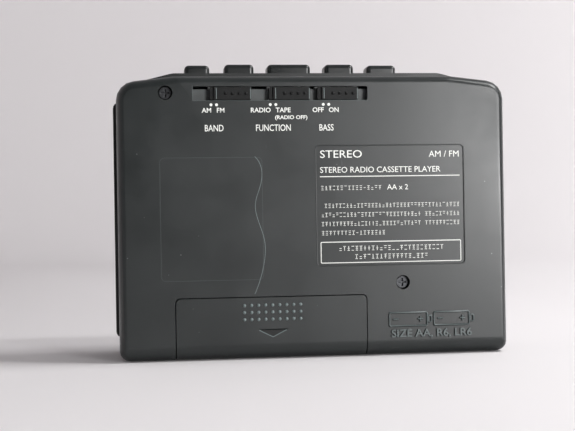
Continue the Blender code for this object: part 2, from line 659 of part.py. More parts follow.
def build_switches():
    strip_low = INNER_BACK_Y + GAP
    strip_high = strip_low + STRIP_THICKNESS
    body_low = strip_high + GAP
    strip = box(SLOT_LEFT_X - 1.5, SLOT_RIGHT_X + 1.5, strip_low, strip_high,
                SLOT_Z - SLOT_HEIGHT / 2 - 1, SLOT_Z + SLOT_HEIGHT / 2 - 0.7)
    stem = STEM_WIDTH / 2
    reach = stem + KNOB_TRAVEL + GAP
    for name, x in SWITCH_CENTRES:
        window = box(x - reach, x + reach, strip_low - 1, strip_high + 1, SLOT_Z - 1.3, SLOT_Z + 1.3)
        strip = cut(strip, window)
        half = KNOB_WIDTH / 2
        tall = SLOT_HEIGHT / 2 - KNOB_FIT
        knob = extrude("Y", rounded_box(x - half, x + half, SLOT_Z - tall, SLOT_Z + tall, 0.4),
                       BACK_Y + 0.2, INNER_BACK_Y)
        ridge = box(x - half + 1.3, x - half + 2.0, BACK_Y - 0.4, BACK_Y + 0.6, SLOT_Z - tall, SLOT_Z + tall)
        stem_bar = box(x - stem, x + stem, INNER_BACK_Y - OVERLAP, body_low + 2.0, SLOT_Z - 0.9, SLOT_Z + 0.9)
        name_part(join(knob, ridge, stem_bar), name + "_switch_knob", "black_plastic", (x, BACK_Y, SLOT_Z))
        wide = SWITCH_WIDTH / 2
        body = box(x - wide, x + wide, body_low, BOARD_Y - GAP, SLOT_Z - 3.4, SLOT_Z + 2.4)
        well = box(x - reach, x + reach, body_low - 1, body_low + 2.4, SLOT_Z - 1.2, SLOT_Z + 1.2)
        name_part(cut(body, well), name + "_switch", "steel")
    name_part(strip, "switch_backing_strip", "grey_strip")


# ------------------------------------------------------------------------ chassis and drive


def gear_outline(u, v, teeth, phase):
    """Plain trapezoid teeth; phase is the direction in which one tooth points."""
    pitch_radius = GEAR_MODULE * teeth / 2
    tip = pitch_radius + 0.55 * GEAR_MODULE
    root = pitch_radius - 0.95 * GEAR_MODULE
    pitch = 2 * math.pi / teeth
    points = []
    for i in range(teeth):
        middle = phase + i * pitch
        for radius, share in ((root, -0.27), (tip, -0.12), (tip, 0.12), (root, 0.27)):
            angle = middle + share * pitch
            points.append((u + radius * math.cos(angle), v + radius * math.sin(angle)))
    return points


def gear(u, v, teeth, phase):
    return extrude("Y", gear_outline(u, v, teeth, phase), GEAR_LOW_Y, GEAR_LOW_Y + GEAR_THICKNESS)


def idler_place():
    """Centre of the idler gear, and the direction from the pinion to the reel hub."""
    pinion = Vector((CAPSTAN_SPACING / 2, CAPSTAN_Z))
    hub = Vector((REEL_SPACING / 2, REEL_Z))
    line = hub - pinion
    spare = line.length - GEAR_MODULE * (PINION_TEETH + HUB_TEETH) / 2
    teeth = 2 * int(spare / GEAR_MODULE / 2)
    slack = (spare - teeth * GEAR_MODULE) / 2
    reach = GEAR_MODULE * (PINION_TEETH + teeth) / 2 + slack
    return pinion + line.normalized() * reach, math.atan2(line.y, line.x), teeth


def belt_path(pulleys):
    """Closed path round pulleys (u, v, radius, side); side is -1 where the belt passes outside."""
    angles = []
    for i, (u, v, radius, side) in enumerate(pulleys):
        nu, nv, next_radius, next_side = pulleys[(i + 1) % len(pulleys)]
        run = Vector((nu - u, nv - v))
        turn = math.asin((next_side * next_radius - side * radius) / run.length)
        angles.append(math.atan2(run.y, run.x) - turn)
    points = []
    for i, (u, v, radius, side) in enumerate(pulleys):
        start = angles[i - 1]
        sweep = (angles[i] - start) * side % (2 * math.pi)
        steps = max(2, round(sweep / math.radians(18)))
        for k in range(steps + 1):
            angle = start + side * sweep * k / steps
            points.append((u + side * radius * math.sin(angle), v - side * radius * math.cos(angle)))
    return points


def belt_loop(offset):
    """The belt's inner (0) or outer (1) face as an outline."""
    groove = FLYWHEEL_RADIUS - BELT_GROOVE + GAP
    away = offset * BELT_THICKNESS
    half = CAPSTAN_SPACING / 2
    return belt_path([
        (MOTOR_X, MOTOR_Z, MOTOR_PULLEY_RADIUS - BELT_GROOVE + GAP + away, 1),
        (BELT_IDLER_X, BELT_IDLER_Z, BELT_IDLER_RADIUS - BELT_GROOVE + GAP + away, 1),
        (half, CAPSTAN_Z, groove + BELT_THICKNESS - away, -1),
        (-half, CAPSTAN_Z, groove + away, 1),
    ])


def grooved(centre, radius, low, high, sides=40):
    """A wheel with a square groove for the belt in its rim."""
    a = FLYWHEEL_Y - BELT_WIDTH / 2 - GAP
    b = FLYWHEEL_Y + BELT_WIDTH / 2 + GAP
    deep = radius - BELT_GROOVE
    profile = [(radius, low), (radius, a), (deep, a + 0.02), (deep, b - 0.02), (radius, b), (radius, high)]
    return turned("Y", centre, profile, sides)


def build_drive():
    half = CAPSTAN_SPACING / 2
    low = FLYWHEEL_Y - FLYWHEEL_THICKNESS / 2
    high = FLYWHEEL_Y + FLYWHEEL_THICKNESS / 2
    idler_centre, direction, idler_teeth = idler_place()
    for side, sign in (("left", -1), ("right", 1)):
        centre = (sign * half, CAPSTAN_Z)
        hub = rod("Y", centre, 2.3, high - 1, GEAR_LOW_Y + 0.3)
        wheel = join(grooved(centre, FLYWHEEL_RADIUS, low, high), hub)
        phase = direction + math.pi / PINION_TEETH
        wheel = join(wheel, gear(*centre, PINION_TEETH, phase))
        wheel = cut(wheel, rod("Y", centre, CAPSTAN_RADIUS + GAP, low - 1, GEAR_LOW_Y + 3, 16))
        origin = (centre[0], FLYWHEEL_Y, centre[1])
        name_part(wheel, "flywheel_" + side, "brass", origin)
        shaft = rod("Y", centre, CAPSTAN_RADIUS, low - CAPSTAN_TAIL, CAPSTAN_END_Y, 16)
        name_part(shaft, "capstan_" + side, "steel", origin)
    motor_at = (MOTOR_X, MOTOR_Z)
    motor = join(rod("Y", motor_at, MOTOR_RADIUS, FLYWHEEL_Y + 2.6, CHASSIS_Y - GAP, 40),
                 rod("Y", motor_at, 0.8, low + 0.4, FLYWHEEL_Y + 3, 12))
    name_part(motor, "motor", "steel", (MOTOR_X, FLYWHEEL_Y, MOTOR_Z))
    bore = rod("Y", motor_at, 1.1, low, high + 1, 16)
    pulley = cut(grooved(motor_at, MOTOR_PULLEY_RADIUS, low + 0.6, high, 24), bore)
    name_part(pulley, "motor_pulley", "brass", (MOTOR_X, FLYWHEEL_Y, MOTOR_Z))
    at = (BELT_IDLER_X, BELT_IDLER_Z)
    bore = rod("Y", at, PULLEY_BORE_RADIUS, low, high + 1, 16)
    pulley = cut(grooved(at, BELT_IDLER_RADIUS, low + 0.6, high, 24), bore)
    name_part(pulley, "belt_idler", "white_plastic", (at[0], FLYWHEEL_Y, at[1]))
    belt = cut(extrude("Y", belt_loop(1), FLYWHEEL_Y - BELT_WIDTH / 2, FLYWHEEL_Y + BELT_WIDTH / 2),
               extrude("Y", belt_loop(0), FLYWHEEL_Y - BELT_WIDTH, FLYWHEEL_Y + BELT_WIDTH))
    name_part(belt, "drive_belt", "rubber")
    bore = rod("Y", tuple(idler_centre), PULLEY_BORE_RADIUS, GEAR_LOW_Y - 1, CHASSIS_Y, 16)
    idler = cut(gear(*idler_centre, idler_teeth, direction), bore)
    name_part(idler, "idler_gear", "white_plastic", (idler_centre.x, GEAR_LOW_Y, idler_centre.y))
    for side, sign in (("left", -1), ("right", 1)):
        build_reel_hub(side, (sign * REEL_SPACING / 2, REEL_Z), direction + math.pi + math.pi / HUB_TEETH)
    build_chassis(idler_centre)


def build_reel_hub(side, centre, phase):
    """Gear under the chassis, shaft through it, and a splined spindle in the bay."""
    hub = join(gear(*centre, HUB_TEETH, phase),
               rod("Y", centre, 2.6, GEAR_LOW_Y + 0.5, CHASSIS_FRONT_Y + 1.5),
               turned("Y", centre, [(5.5, HEAD_PLATE_Y), (5.5, HEAD_PLATE_Y + 1.0), (3.0, HEAD_PLATE_Y + 1.02),
                                    (3.0, CAPSTAN_END_Y - 1.6), (1.6, CAPSTAN_END_Y - 0.6)]))
    for i in range(3):
        angle = 2 * math.pi * i / 3
        u = centre[0] + 3.3 * math.cos(angle)
        v = centre[1] + 3.3 * math.sin(angle)
        hub = join(hub, rod("Y", (u, v), 0.8, HEAD_PLATE_Y + 0.5, CAPSTAN_END_Y - 2.2, 8))
    name_part(hub, "reel_hub_" + side, "white_plastic", (centre[0], CHASSIS_Y, centre[1]))


def build_chassis(idler_centre):
    outline = rounded_box(-CHASSIS_HALF_WIDTH, CHASSIS_HALF_WIDTH, PARTITION_Z + 2,
                          CASE_HEIGHT - CHASSIS_TOP_DROP, 3.0)
    plate = extrude("Y", outline, CHASSIS_Y, CHASSIS_FRONT_Y)
    root = CHASSIS_Y + OVERLAP
    studs = [rod("Y", tuple(idler_centre), STUD_RADIUS, GEAR_LOW_Y - 0.4, root, 12),
             rod("Y", (BELT_IDLER_X, BELT_IDLER_Z), STUD_RADIUS, FLYWHEEL_Y - 2.2, root, 12)]
    for sign in (-1, 1):
        studs.append(rod("Y", (sign * PINCH_PIVOT_X, PINCH_PIVOT_Z), STUD_RADIUS, root, PINCH_ARM_Y + 1.6, 12))
    plate = join(plate, *studs)
    low = CHASSIS_Y - 1
    high = CHASSIS_FRONT_Y + 1
    holes = [rod("Y", (x, z), SCREW_SHANK_RADIUS + GAP, low, high, 16) for x, z in CHASSIS_SCREWS]
    for sign in (-1, 1):
        holes.append(rod("Y", (sign * CAPSTAN_SPACING / 2, CAPSTAN_Z), CAPSTAN_RADIUS + GAP, low, high, 16))
        holes.append(rod("Y", (sign * REEL_SPACING / 2, REEL_Z), 3.0, low, high))
    name_part(cut(plate, *holes), "chassis_plate", "steel")
    for i, (x, z) in enumerate(CHASSIS_SCREWS):
        profile = [(1.8, CHASSIS_Y - 1.4), (1.8, CHASSIS_Y - GAP), (SCREW_SHANK_RADIUS, CHASSIS_Y - GAP + 0.01),
                   (SCREW_SHANK_RADIUS, CHASSIS_FRONT_Y + 5)]
        name_part(turned("Y", (x, z), profile, 16), "chassis_screw_%d" % (i + 1), "steel")


def build_head_parts():
    plate = box(-14, 14, HEAD_PLATE_Y, HEAD_PLATE_Y + 0.7, CAPSTAN_Z - 5, HEAD_LOW_Z + 3.6)
    name_part(plate, "head_plate", "steel", (0, HEAD_PLATE_Y, CAPSTAN_Z))
    face = fillet([(-6, HEAD_LOW_Z), (6, HEAD_LOW_Z), (6, HEAD_LOW_Z + 4), (-6, HEAD_LOW_Z + 4)],
                  [1.8, 1.8, 0.3, 0.3])
    name_part(extrude("Y", face, HEAD_PLATE_Y + 1.0, SHELL_FRONT_Y - 2.5), "play_head", "steel",
              (0, HEAD_PLATE_Y, CAPSTAN_Z))
    for side, sign in (("left", -1), ("right", 1)):
        pivot = (sign * PINCH_PIVOT_X, PINCH_PIVOT_Z)
        roller = (sign * CAPSTAN_SPACING / 2, PINCH_ROLLER_Z)
        run = Vector(roller) - Vector(pivot)
        across = Vector((-run.y, run.x)).normalized() * 1.5
        corners = [Vector(pivot) - across, Vector(roller) - across, Vector(roller) + across, Vector(pivot) + across]
        arm = join(extrude("Y", [tuple(c) for c in corners], PINCH_ARM_Y, PINCH_ARM_Y + 1.2),
                   rod("Y", pivot, 2.2, PINCH_ARM_Y, PINCH_ARM_Y + 1.2),
                   rod("Y", roller, 1.9, PINCH_ARM_Y, PINCH_ARM_Y + 1.2),
                   rod("Y", roller, 0.8, PINCH_ARM_Y + 0.5, CAPSTAN_END_Y, 12))
        arm = cut(arm, rod("Y", pivot, STUD_RADIUS + GAP, CHASSIS_Y, PINCH_ARM_Y + 2, 16))
        name_part(arm, "pinch_arm_" + side, "steel", (pivot[0], PINCH_ARM_Y, pivot[1]))
        tyre = cut(rod("Y", roller, PINCH_ROLLER_RADIUS, PINCH_ARM_Y + 1.5, CAPSTAN_END_Y - 0.4),
                   rod("Y", roller, 1.1, PINCH_ARM_Y, CAPSTAN_END_Y + 1, 16))
        name_part(tyre, "pinch_roller_" + side, "rubber", (roller[0], PINCH_ARM_Y, roller[1]))


# ------------------------------------------------------------------------ electronics


def build_electronics():
    top = SLOT_Z + SLOT_HEIGHT / 2 - 2.5
    side = HALF_WIDTH - BOARD_INSET
    board = box(-side, side, BOARD_Y, BOARD_FACE_Y, PARTITION_Z + RIB + 0.4, top)
    for _, x, z in CASE_SCREWS:
        hole = SCREW_HOLE_RADIUS + SCREW_BOSS_WALL + 0.5
        board = cut(board, rod("Y", (x, z), hole, BOARD_Y - 1, BOARD_FACE_Y + 1))
    name_part(board, "main_board", "board")
    face = BOARD_FACE_Y + GAP
    under = WHEEL_Y - WHEEL_THICKNESS / 2 - GAP
    for name, radius, z, half in (("tuning", TUNING_WHEEL_RADIUS, TUNING_WHEEL_Z, 8.0),
                                  ("volume", VOLUME_WHEEL_RADIUS, VOLUME_WHEEL_Z, 5.5)):
        x = wheel_x(radius)
        wheel = rod("Y", (x, z), radius, WHEEL_Y - WHEEL_THICKNESS / 2, WHEEL_Y + WHEEL_THICKNESS / 2, 48)
        name_part(wheel, name + "_wheel", "black_plastic", (x, WHEEL_Y, z))
        control = box(x - half, x + half * 0.6, face, under, z - half, z + half)
        name_part(control, name + "_control", "white_plastic")
    body = box(HALF_WIDTH - 14, HALF_WIDTH - 3.6, JACK_Y - 2.6, JACK_Y + 3.2, JACK_Z - 2.8, JACK_Z + 2.4)
    jack = join(body, rod("X", (JACK_Y, JACK_Z), JACK_RADIUS - 0.3, HALF_WIDTH - 4, HALF_WIDTH - 0.1))
    jack = cut(jack, rod("X", (JACK_Y, JACK_Z), JACK_BORE_RADIUS, HALF_WIDTH - 12, HALF_WIDTH + 1))
    name_part(jack, "headphone_jack", "black_plastic")
    low = PARTITION_Z + 4
    name_part(box(-50, -2, face, face + 3.2, low, low + 5), "ferrite_rod", "ferrite")


def build_battery_parts():
    for side, left in (("left", -CELL_LENGTH - 0.2), ("right", 0.2)):
        profile = [(CELL_RADIUS, left), (CELL_RADIUS, left + CELL_LENGTH - 1.0), (2.6, left + CELL_LENGTH - 0.98),
                   (2.6, left + CELL_LENGTH)]
        cell = turned("X", (CELL_Y, CELL_Z), profile, 32)
        name_part(cell, "aa_cell_" + side, "cell_jacket", (left, CELL_Y, CELL_Z))
    end = HALF_WIDTH - WALL - GAP
    low = CELL_Z - CELL_RADIUS + 1
    high = CELL_Z + CELL_RADIUS - 1
    for side, x in (("left", -end), ("right", CELL_LENGTH + CONTACT_THICKNESS)):
        plate = box(x, x + CONTACT_THICKNESS, CELL_Y - 5, CELL_Y + 5, low, high)
        name_part(plate, "battery_contact_" + side, "steel")
    coil = helix("X", (CELL_Y, CELL_Z), 4.5, 2.4, 0.35, -end + 0.6, -CELL_LENGTH - 0.5, 4)
    name_part(coil, "battery_spring", "steel", (-end, CELL_Y, CELL_Z))


def main():
    for old in list(bpy.data.objects):
        bpy.data.objects.remove(old)
    build_back_shell()
    build_front_shell()
    build_case_screws()
    build_battery_cover()
    build_door()
    build_holder()
    build_keys()
    build_switches()
    build_drive()
    build_head_parts()
    build_electronics()
    build_battery_parts()


main()
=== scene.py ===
"""Looks for a personal radio cassette player, laid out as an add-on and run as a script.

Sizes in the code are in millimetres unless a property says otherwise; MM turns them into metres.
+X is right when looking at the back cover, +Y points to the cassette door, +Z up to the keys.
"""

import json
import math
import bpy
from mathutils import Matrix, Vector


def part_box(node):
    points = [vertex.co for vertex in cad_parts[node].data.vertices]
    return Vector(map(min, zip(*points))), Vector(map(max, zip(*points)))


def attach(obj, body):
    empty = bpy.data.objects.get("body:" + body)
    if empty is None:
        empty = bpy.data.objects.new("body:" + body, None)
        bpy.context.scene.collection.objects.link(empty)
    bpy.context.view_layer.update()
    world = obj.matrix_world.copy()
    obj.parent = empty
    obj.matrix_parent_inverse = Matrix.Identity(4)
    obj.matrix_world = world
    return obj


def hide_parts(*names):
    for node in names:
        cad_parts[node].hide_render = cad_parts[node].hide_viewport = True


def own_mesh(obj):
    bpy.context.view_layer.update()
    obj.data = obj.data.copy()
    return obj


bl_info = {
    "name": "Cassette Player Finish",
    "version": (1, 0, 0),
    "blender": (4, 5, 0),
    "location": "View3D > Sidebar > Player",
    "description": "Finishes a personal radio cassette player and sets its stage",
    "category": "Object",
}

import bmesh
import bpy
from mathutils import Matrix, Vector

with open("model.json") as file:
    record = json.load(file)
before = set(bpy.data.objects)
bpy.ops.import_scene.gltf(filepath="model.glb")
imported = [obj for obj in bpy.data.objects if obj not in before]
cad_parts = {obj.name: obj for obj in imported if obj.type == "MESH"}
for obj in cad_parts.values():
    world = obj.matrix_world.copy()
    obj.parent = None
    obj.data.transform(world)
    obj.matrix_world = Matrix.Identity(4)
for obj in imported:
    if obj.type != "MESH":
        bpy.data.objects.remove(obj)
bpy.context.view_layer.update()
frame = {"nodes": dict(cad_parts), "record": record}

MM = 0.001
NODES = frame["nodes"]

# ---------------------------------------------------------------- places read from the frame


def span(node):
    """A node's lowest and highest corners at rest, in millimetres."""
    low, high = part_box(node)
    return Vector(low) / MM, Vector(high) / MM


BACK_Y = span("back_shell")[0].y
COVER_LOW, COVER_HIGH = span("battery_cover")
DOOR_LOW, DOOR_HIGH = span("cassette_door")
WINDOW_LOW, WINDOW_HIGH = span("door_window")
SLOT_LOW, SLOT_HIGH = span("switch_backing_strip")
KEYS = ("direction", "rewind", "play", "fast_forward", "stop")
SWITCHES = ("band", "function", "bass")
PRINT_THICKNESS = 0.03
PRINT_Y = BACK_Y - PRINT_THICKNESS

# Keys, as the frame has them
LEDGE_TOP = span("front_shell")[1].z
LEDGE_WALL = 2.3
KEY_SINK = 6.2  # how far a cap reaches below the ledge's top
KEY_COLLAR = 0.8
KEY_DEPTH = 7.4
KEY_TAIL_WIDTH = 6.0
KEY_ROUNDING = 1.35
KEY_MARK_Y = (span("button_play")[0].y + span("button_play")[1].y) / 2 + 1.3
SPRING_WIRE = 0.18
SPRING_TURNS = 3.0

# Marks on the back
CAP_HEIGHT_SHARE = 0.69  # a capital's height as a share of the font's size
LINE = 0.28  # width of the label's printed lines
BOLD = 0.03  # how far the small words' strokes are thickened
SIDE_MARGIN = 1.3  # from the label's edge to its print
THUMB_GRIP_X = COVER_LOW.x + 29.5
KNOB_RECESS = 0.2
STRIP_SIDE = 1.5  # how far the strip behind the slot reaches past its ends
STRIP_BELOW = 1.0  # and below it
STRIP_SHORT = 0.7  # and how far it ends under its top
RIDGE_HEIGHT = 0.55
# Shift and height of the painted shadow beside the cell diagram's ridges
PAINTED_SHADOW_SHIFT = -0.17
PAINTED_SHADOW_HEIGHT = 0.03

# The sunken label, measured from the middle of the case's back
LABEL_LEFT = 0.0
LABEL_RIGHT = 46.7
LABEL_LOW = 28.1
LABEL_HIGH = 65.2
LABEL_Y = BACK_Y + 0.3

# ---------------------------------------------------------------- colours


def linear(hex_colour):
    """An sRGB hex value as linear red, green, blue and alpha."""
    channels = [int(hex_colour[i:i + 2], 16) / 255 for i in (1, 3, 5)]
    curved = [c / 12.92 if c <= 0.04045 else ((c + 0.055) / 1.055) ** 2.4 for c in channels]
    return (*curved, 1.0)


# ---------------------------------------------------------------- settings


class PlayerColours(bpy.types.PropertyGroup):
    """Colours of the visible finishes."""

    case: bpy.props.FloatVectorProperty(
        name="Case", description="Charcoal ABS of both half shells", subtype="COLOR",
        size=4, min=0, max=1, default=linear("#1b1f1f"))
    dark: bpy.props.FloatVectorProperty(
        name="Dark trim", description="Black ABS of the door and the slide switches", subtype="COLOR",
        size=4, min=0, max=1, default=linear("#161717"))
    ink: bpy.props.FloatVectorProperty(
        name="Ink", description="Screen-printed ink of the words", subtype="COLOR",
        size=4, min=0, max=1, default=linear("#e9ebe6"))
    paper: bpy.props.FloatVectorProperty(
        name="Stage", description="Seamless paper under and behind the player", subtype="COLOR",
        size=4, min=0, max=1, default=linear("#e4e1e2"))


class PlayerGrip(bpy.types.PropertyGroup):
    """Raised dots that give the thumb a grip."""

    columns: bpy.props.IntProperty(name="Columns", description="Dots in a row", default=9, min=1)
    rows: bpy.props.IntProperty(name="Rows", description="Rows of dots", default=3, min=1)
    pitch: bpy.props.FloatProperty(
        name="Pitch", description="Distance between dots", default=2.16 * MM, unit="LENGTH")
    radius: bpy.props.FloatProperty(
        name="Radius", description="Radius of a dot", default=0.52 * MM, unit="LENGTH")


class PlayerPrint(bpy.types.PropertyGroup):
    """Heights of the printed words."""

    small: bpy.props.FloatProperty(
        name="Small words", description="Capital height beside the dots", default=1.4 * MM, unit="LENGTH")
    large: bpy.props.FloatProperty(
        name="Large words", description="Capital height of the switch names", default=1.95 * MM,
        unit="LENGTH")


class PlayerStage(bpy.types.PropertyGroup):
    """Bowl, lights and camera."""

    radius: bpy.props.FloatProperty(
        name="Bowl radius", description="Radius of the seamless bowl", default=1.15, unit="LENGTH")
    key_power: bpy.props.FloatProperty(
        name="Window light", description="Power of the large light at the right", default=5.0, unit="POWER")
    lens: bpy.props.FloatProperty(
        name="Lens", description="Focal length of the camera in millimetres", default=75.1)


# ---------------------------------------------------------------- mesh helpers


def link(name, mesh):
    piece = bpy.data.objects.new(name, mesh)
    bpy.context.collection.objects.link(piece)
    return piece


def plain(piece):
    """Replace a piece's modifiers, or its text or curve, by the mesh they make."""
    bpy.context.view_layer.update()
    evaluated = piece.evaluated_get(bpy.context.evaluated_depsgraph_get())
    mesh = bpy.data.meshes.new_from_object(evaluated)
    name = piece.name
    bpy.data.objects.remove(piece)
    return link(name, mesh)


def refine(node, suffix, width, segments=2, angle=32):
    """A copy of a CAD node with softened edges, which takes the node's place."""
    mesh = NODES[node].data.copy()
    mesh.materials.clear()
    form = bmesh.new()
    form.from_mesh(mesh)
    bmesh.ops.remove_doubles(form, verts=form.verts, dist=0.004 * MM)
    bmesh.ops.dissolve_limit(form, angle_limit=math.radians(0.6), verts=form.verts, edges=form.edges)
    form.to_mesh(mesh)
    form.free()
    piece = link(node + suffix, mesh)
    bevel = piece.modifiers.new("edge", "BEVEL")
    bevel.width = width * MM
    bevel.segments = segments
    bevel.limit_method = "ANGLE"
    bevel.angle_limit = math.radians(angle)
    bevel.use_clamp_overlap = True
    even_normals(piece)
    piece.data.shade_smooth()
    piece = plain(piece)
    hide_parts(node)
    return piece


def soft_box(low, high, radius, segments=4):
    """A moulded block with every edge rounded, between two corners in millimetres."""
    form = bmesh.new()
    place_and_size = Matrix.Translation((low + high) / 2 * MM) @ Matrix.Diagonal((*((high - low) * MM), 1.0))
    bmesh.ops.create_cube(form, size=1.0, matrix=place_and_size)
    bmesh.ops.bevel(form, geom=form.edges[:], offset=radius * MM, segments=segments, profile=0.5,
                    affect="EDGES")
    for face in form.faces:
        face.smooth = True
    mesh = bpy.data.meshes.new("block")
    form.to_mesh(mesh)
    form.free()
    return link("block", mesh)


def even_normals(piece):
    """Keep large faces flat in the light where they meet rounded edges."""
    even = piece.modifiers.new("even", "WEIGHTED_NORMAL")
    even.weight = 100
    even.keep_sharp = True


def body_of(node):
    """Name of the body that a CAD node belongs to."""
    for body, members in frame["record"]["behaviour"]["bodies"].items():
        if node in members:
            return body
    raise RuntimeError("no body holds " + node)


def dress(piece, material, body):
    """Give a finished piece its material and its body."""
    piece.data.materials.clear()
    piece.data.materials.append(material)
    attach(piece, body)
    return piece


def ribbon(name, points, width, closed=True, depth=0.02, kind="POLY"):
    """A flat raised line on the back cover, through (x, z) points in millimetres."""
    curve = bpy.data.curves.new(name, "CURVE")
    curve.dimensions = "3D"
    spline = curve.splines.new(kind)
    spline.points.add(len(points) - 1)
    for point, (x, z) in zip(spline.points, points):
        point.co = (x * MM, 0.0, z * MM, 1.0)
    spline.use_cyclic_u = closed
    spline.use_endpoint_u = True
    curve.bevel_depth = width / 2 * MM
    curve.bevel_resolution = 2
    curve.use_fill_caps = True
    piece = plain(link(name, curve))
    squash = Matrix.Diagonal((1.0, depth / (width / 2), 1.0, 1.0))
    piece.data.transform(squash)
    return piece


def place(piece, x, y, z):
    piece.data.transform(Matrix.Translation(Vector((x, y, z)) * MM))
    return piece


def corner_path(x0, x1, z0, z1, radius, steps=4):
    """Points of a rectangle with round corners."""
    points = []
    centres = ((x1 - radius, z1 - radius, 0), (x0 + radius, z1 - radius, 90),
               (x0 + radius, z0 + radius, 180), (x1 - radius, z0 + radius, 270))
    for cx, cz, start in centres:
        for i in range(steps + 1):
            angle = math.radians(start + 90 * i / steps)
            points.append((cx + radius * math.cos(angle), cz + radius * math.sin(angle)))
    return points


def word(name, text, x, z, height, y=PRINT_Y, align="CENTER", depth=PRINT_THICKNESS, squeeze=1.0,
         bold=0.0):
    """Raised or printed lettering facing the back, its baseline's point at x, z."""
    curve = bpy.data.curves.new(name, "FONT")
    curve.body = text
    curve.align_x = align
    curve.size = height / CAP_HEIGHT_SHARE * MM
    curve.extrude = depth / 2 * MM
    curve.offset = bold * MM
    curve.resolution_u = 3
    piece = plain(link(name, curve))
    turn = Matrix.Rotation(math.pi / 2, 4, "X")
    piece.data.transform(turn @ Matrix.Diagonal((squeeze, 1.0, 1.0, 1.0)))
    return place(piece, x, y + depth / 2, z)


def merge(name, pieces):
    """Join pieces' meshes into one piece."""
    form = bmesh.new()
    for piece in pieces:
        form.from_mesh(piece.data)
        bpy.data.objects.remove(piece)
    mesh = bpy.data.meshes.new(name)
    form.to_mesh(mesh)
    form.free()
    return link(name, mesh)


# ---------------------------------------------------------------- geometry trees


def new_tree(name, inputs):
    """A geometry tree with named inputs of (name, socket type, default)."""
    tree = bpy.data.node_groups.new(name, "GeometryNodeTree")
    for title, kind, default in inputs:
        socket = tree.interface.new_socket(title, in_out="INPUT", socket_type=kind)
        if default is not None:
            socket.default_value = default
    tree.interface.new_socket("Geometry", in_out="OUTPUT", socket_type="NodeSocketGeometry")
    return tree, tree.nodes.new("NodeGroupInput").outputs


def add_node(tree, kind, settings=None, inputs=None):
    """Add a node, set its properties, and fill its inputs with values or links."""
    node = tree.nodes.new(kind)
    for key, value in (settings or {}).items():
        setattr(node, key, value)
    for key, value in (inputs or {}).items():
        if isinstance(value, bpy.types.NodeSocket):
            tree.links.new(value, node.inputs[key])
        else:
            node.inputs[key].default_value = value
    return node


def finish_tree(tree, geometry, material, shift=None, turn=math.pi / 2):
    """Realise the copies, turn them, by default to face the back, move them and give them a material."""
    real = add_node(tree, "GeometryNodeRealizeInstances", None, {"Geometry": geometry})
    turned = add_node(tree, "GeometryNodeTransform", None,
                      {"Geometry": real.outputs[0], "Rotation": (turn, 0.0, 0.0)})
    if shift is not None:
        tree.links.new(shift, turned.inputs["Translation"])
    soft = add_node(tree, "GeometryNodeSetShadeSmooth", None, {"Geometry": turned.outputs[0]})
    done = add_node(tree, "GeometryNodeSetMaterial", None, {
        "Geometry": soft.outputs[0], "Material": material})
    out = tree.nodes.new("NodeGroupOutput")
    tree.links.new(done.outputs[0], out.inputs[0])
    return tree


def grow(name, tree, values):
    """Run a geometry tree with named input values and keep the mesh it makes."""
    piece = link(name, bpy.data.meshes.new(name))
    modifier = piece.modifiers.new("grow", "NODES")
    modifier.node_group = tree
    for item in tree.interface.items_tree:
        if item.item_type == "SOCKET" and item.in_out == "INPUT" and item.name in values:
            modifier[item.identifier] = values[item.name]
    return plain(piece)


def dot_grid_tree(material):
    """A grid of low domes: the thumb grip and the dots on the slide switches."""
    tree, given = new_tree("Grip dots", [
        ("Columns", "NodeSocketInt", 9), ("Rows", "NodeSocketInt", 3), ("Width", "NodeSocketFloat", 0.017),
        ("Height", "NodeSocketFloat", 0.004), ("Radius", "NodeSocketFloat", 0.0005),
        ("Place", "NodeSocketVector", None)])
    grid = add_node(tree, "GeometryNodeMeshGrid", None, {
        "Size X": given["Width"], "Size Y": given["Height"],
        "Vertices X": given["Columns"], "Vertices Y": given["Rows"]})
    dome = add_node(tree, "GeometryNodeMeshUVSphere", None, {
        "Segments": 14, "Rings": 8, "Radius": given["Radius"]})
    copies = add_node(tree, "GeometryNodeInstanceOnPoints", None, {
        "Points": grid.outputs["Mesh"], "Instance": dome.outputs["Mesh"]})
    return finish_tree(tree, copies.outputs[0], material, given["Place"])


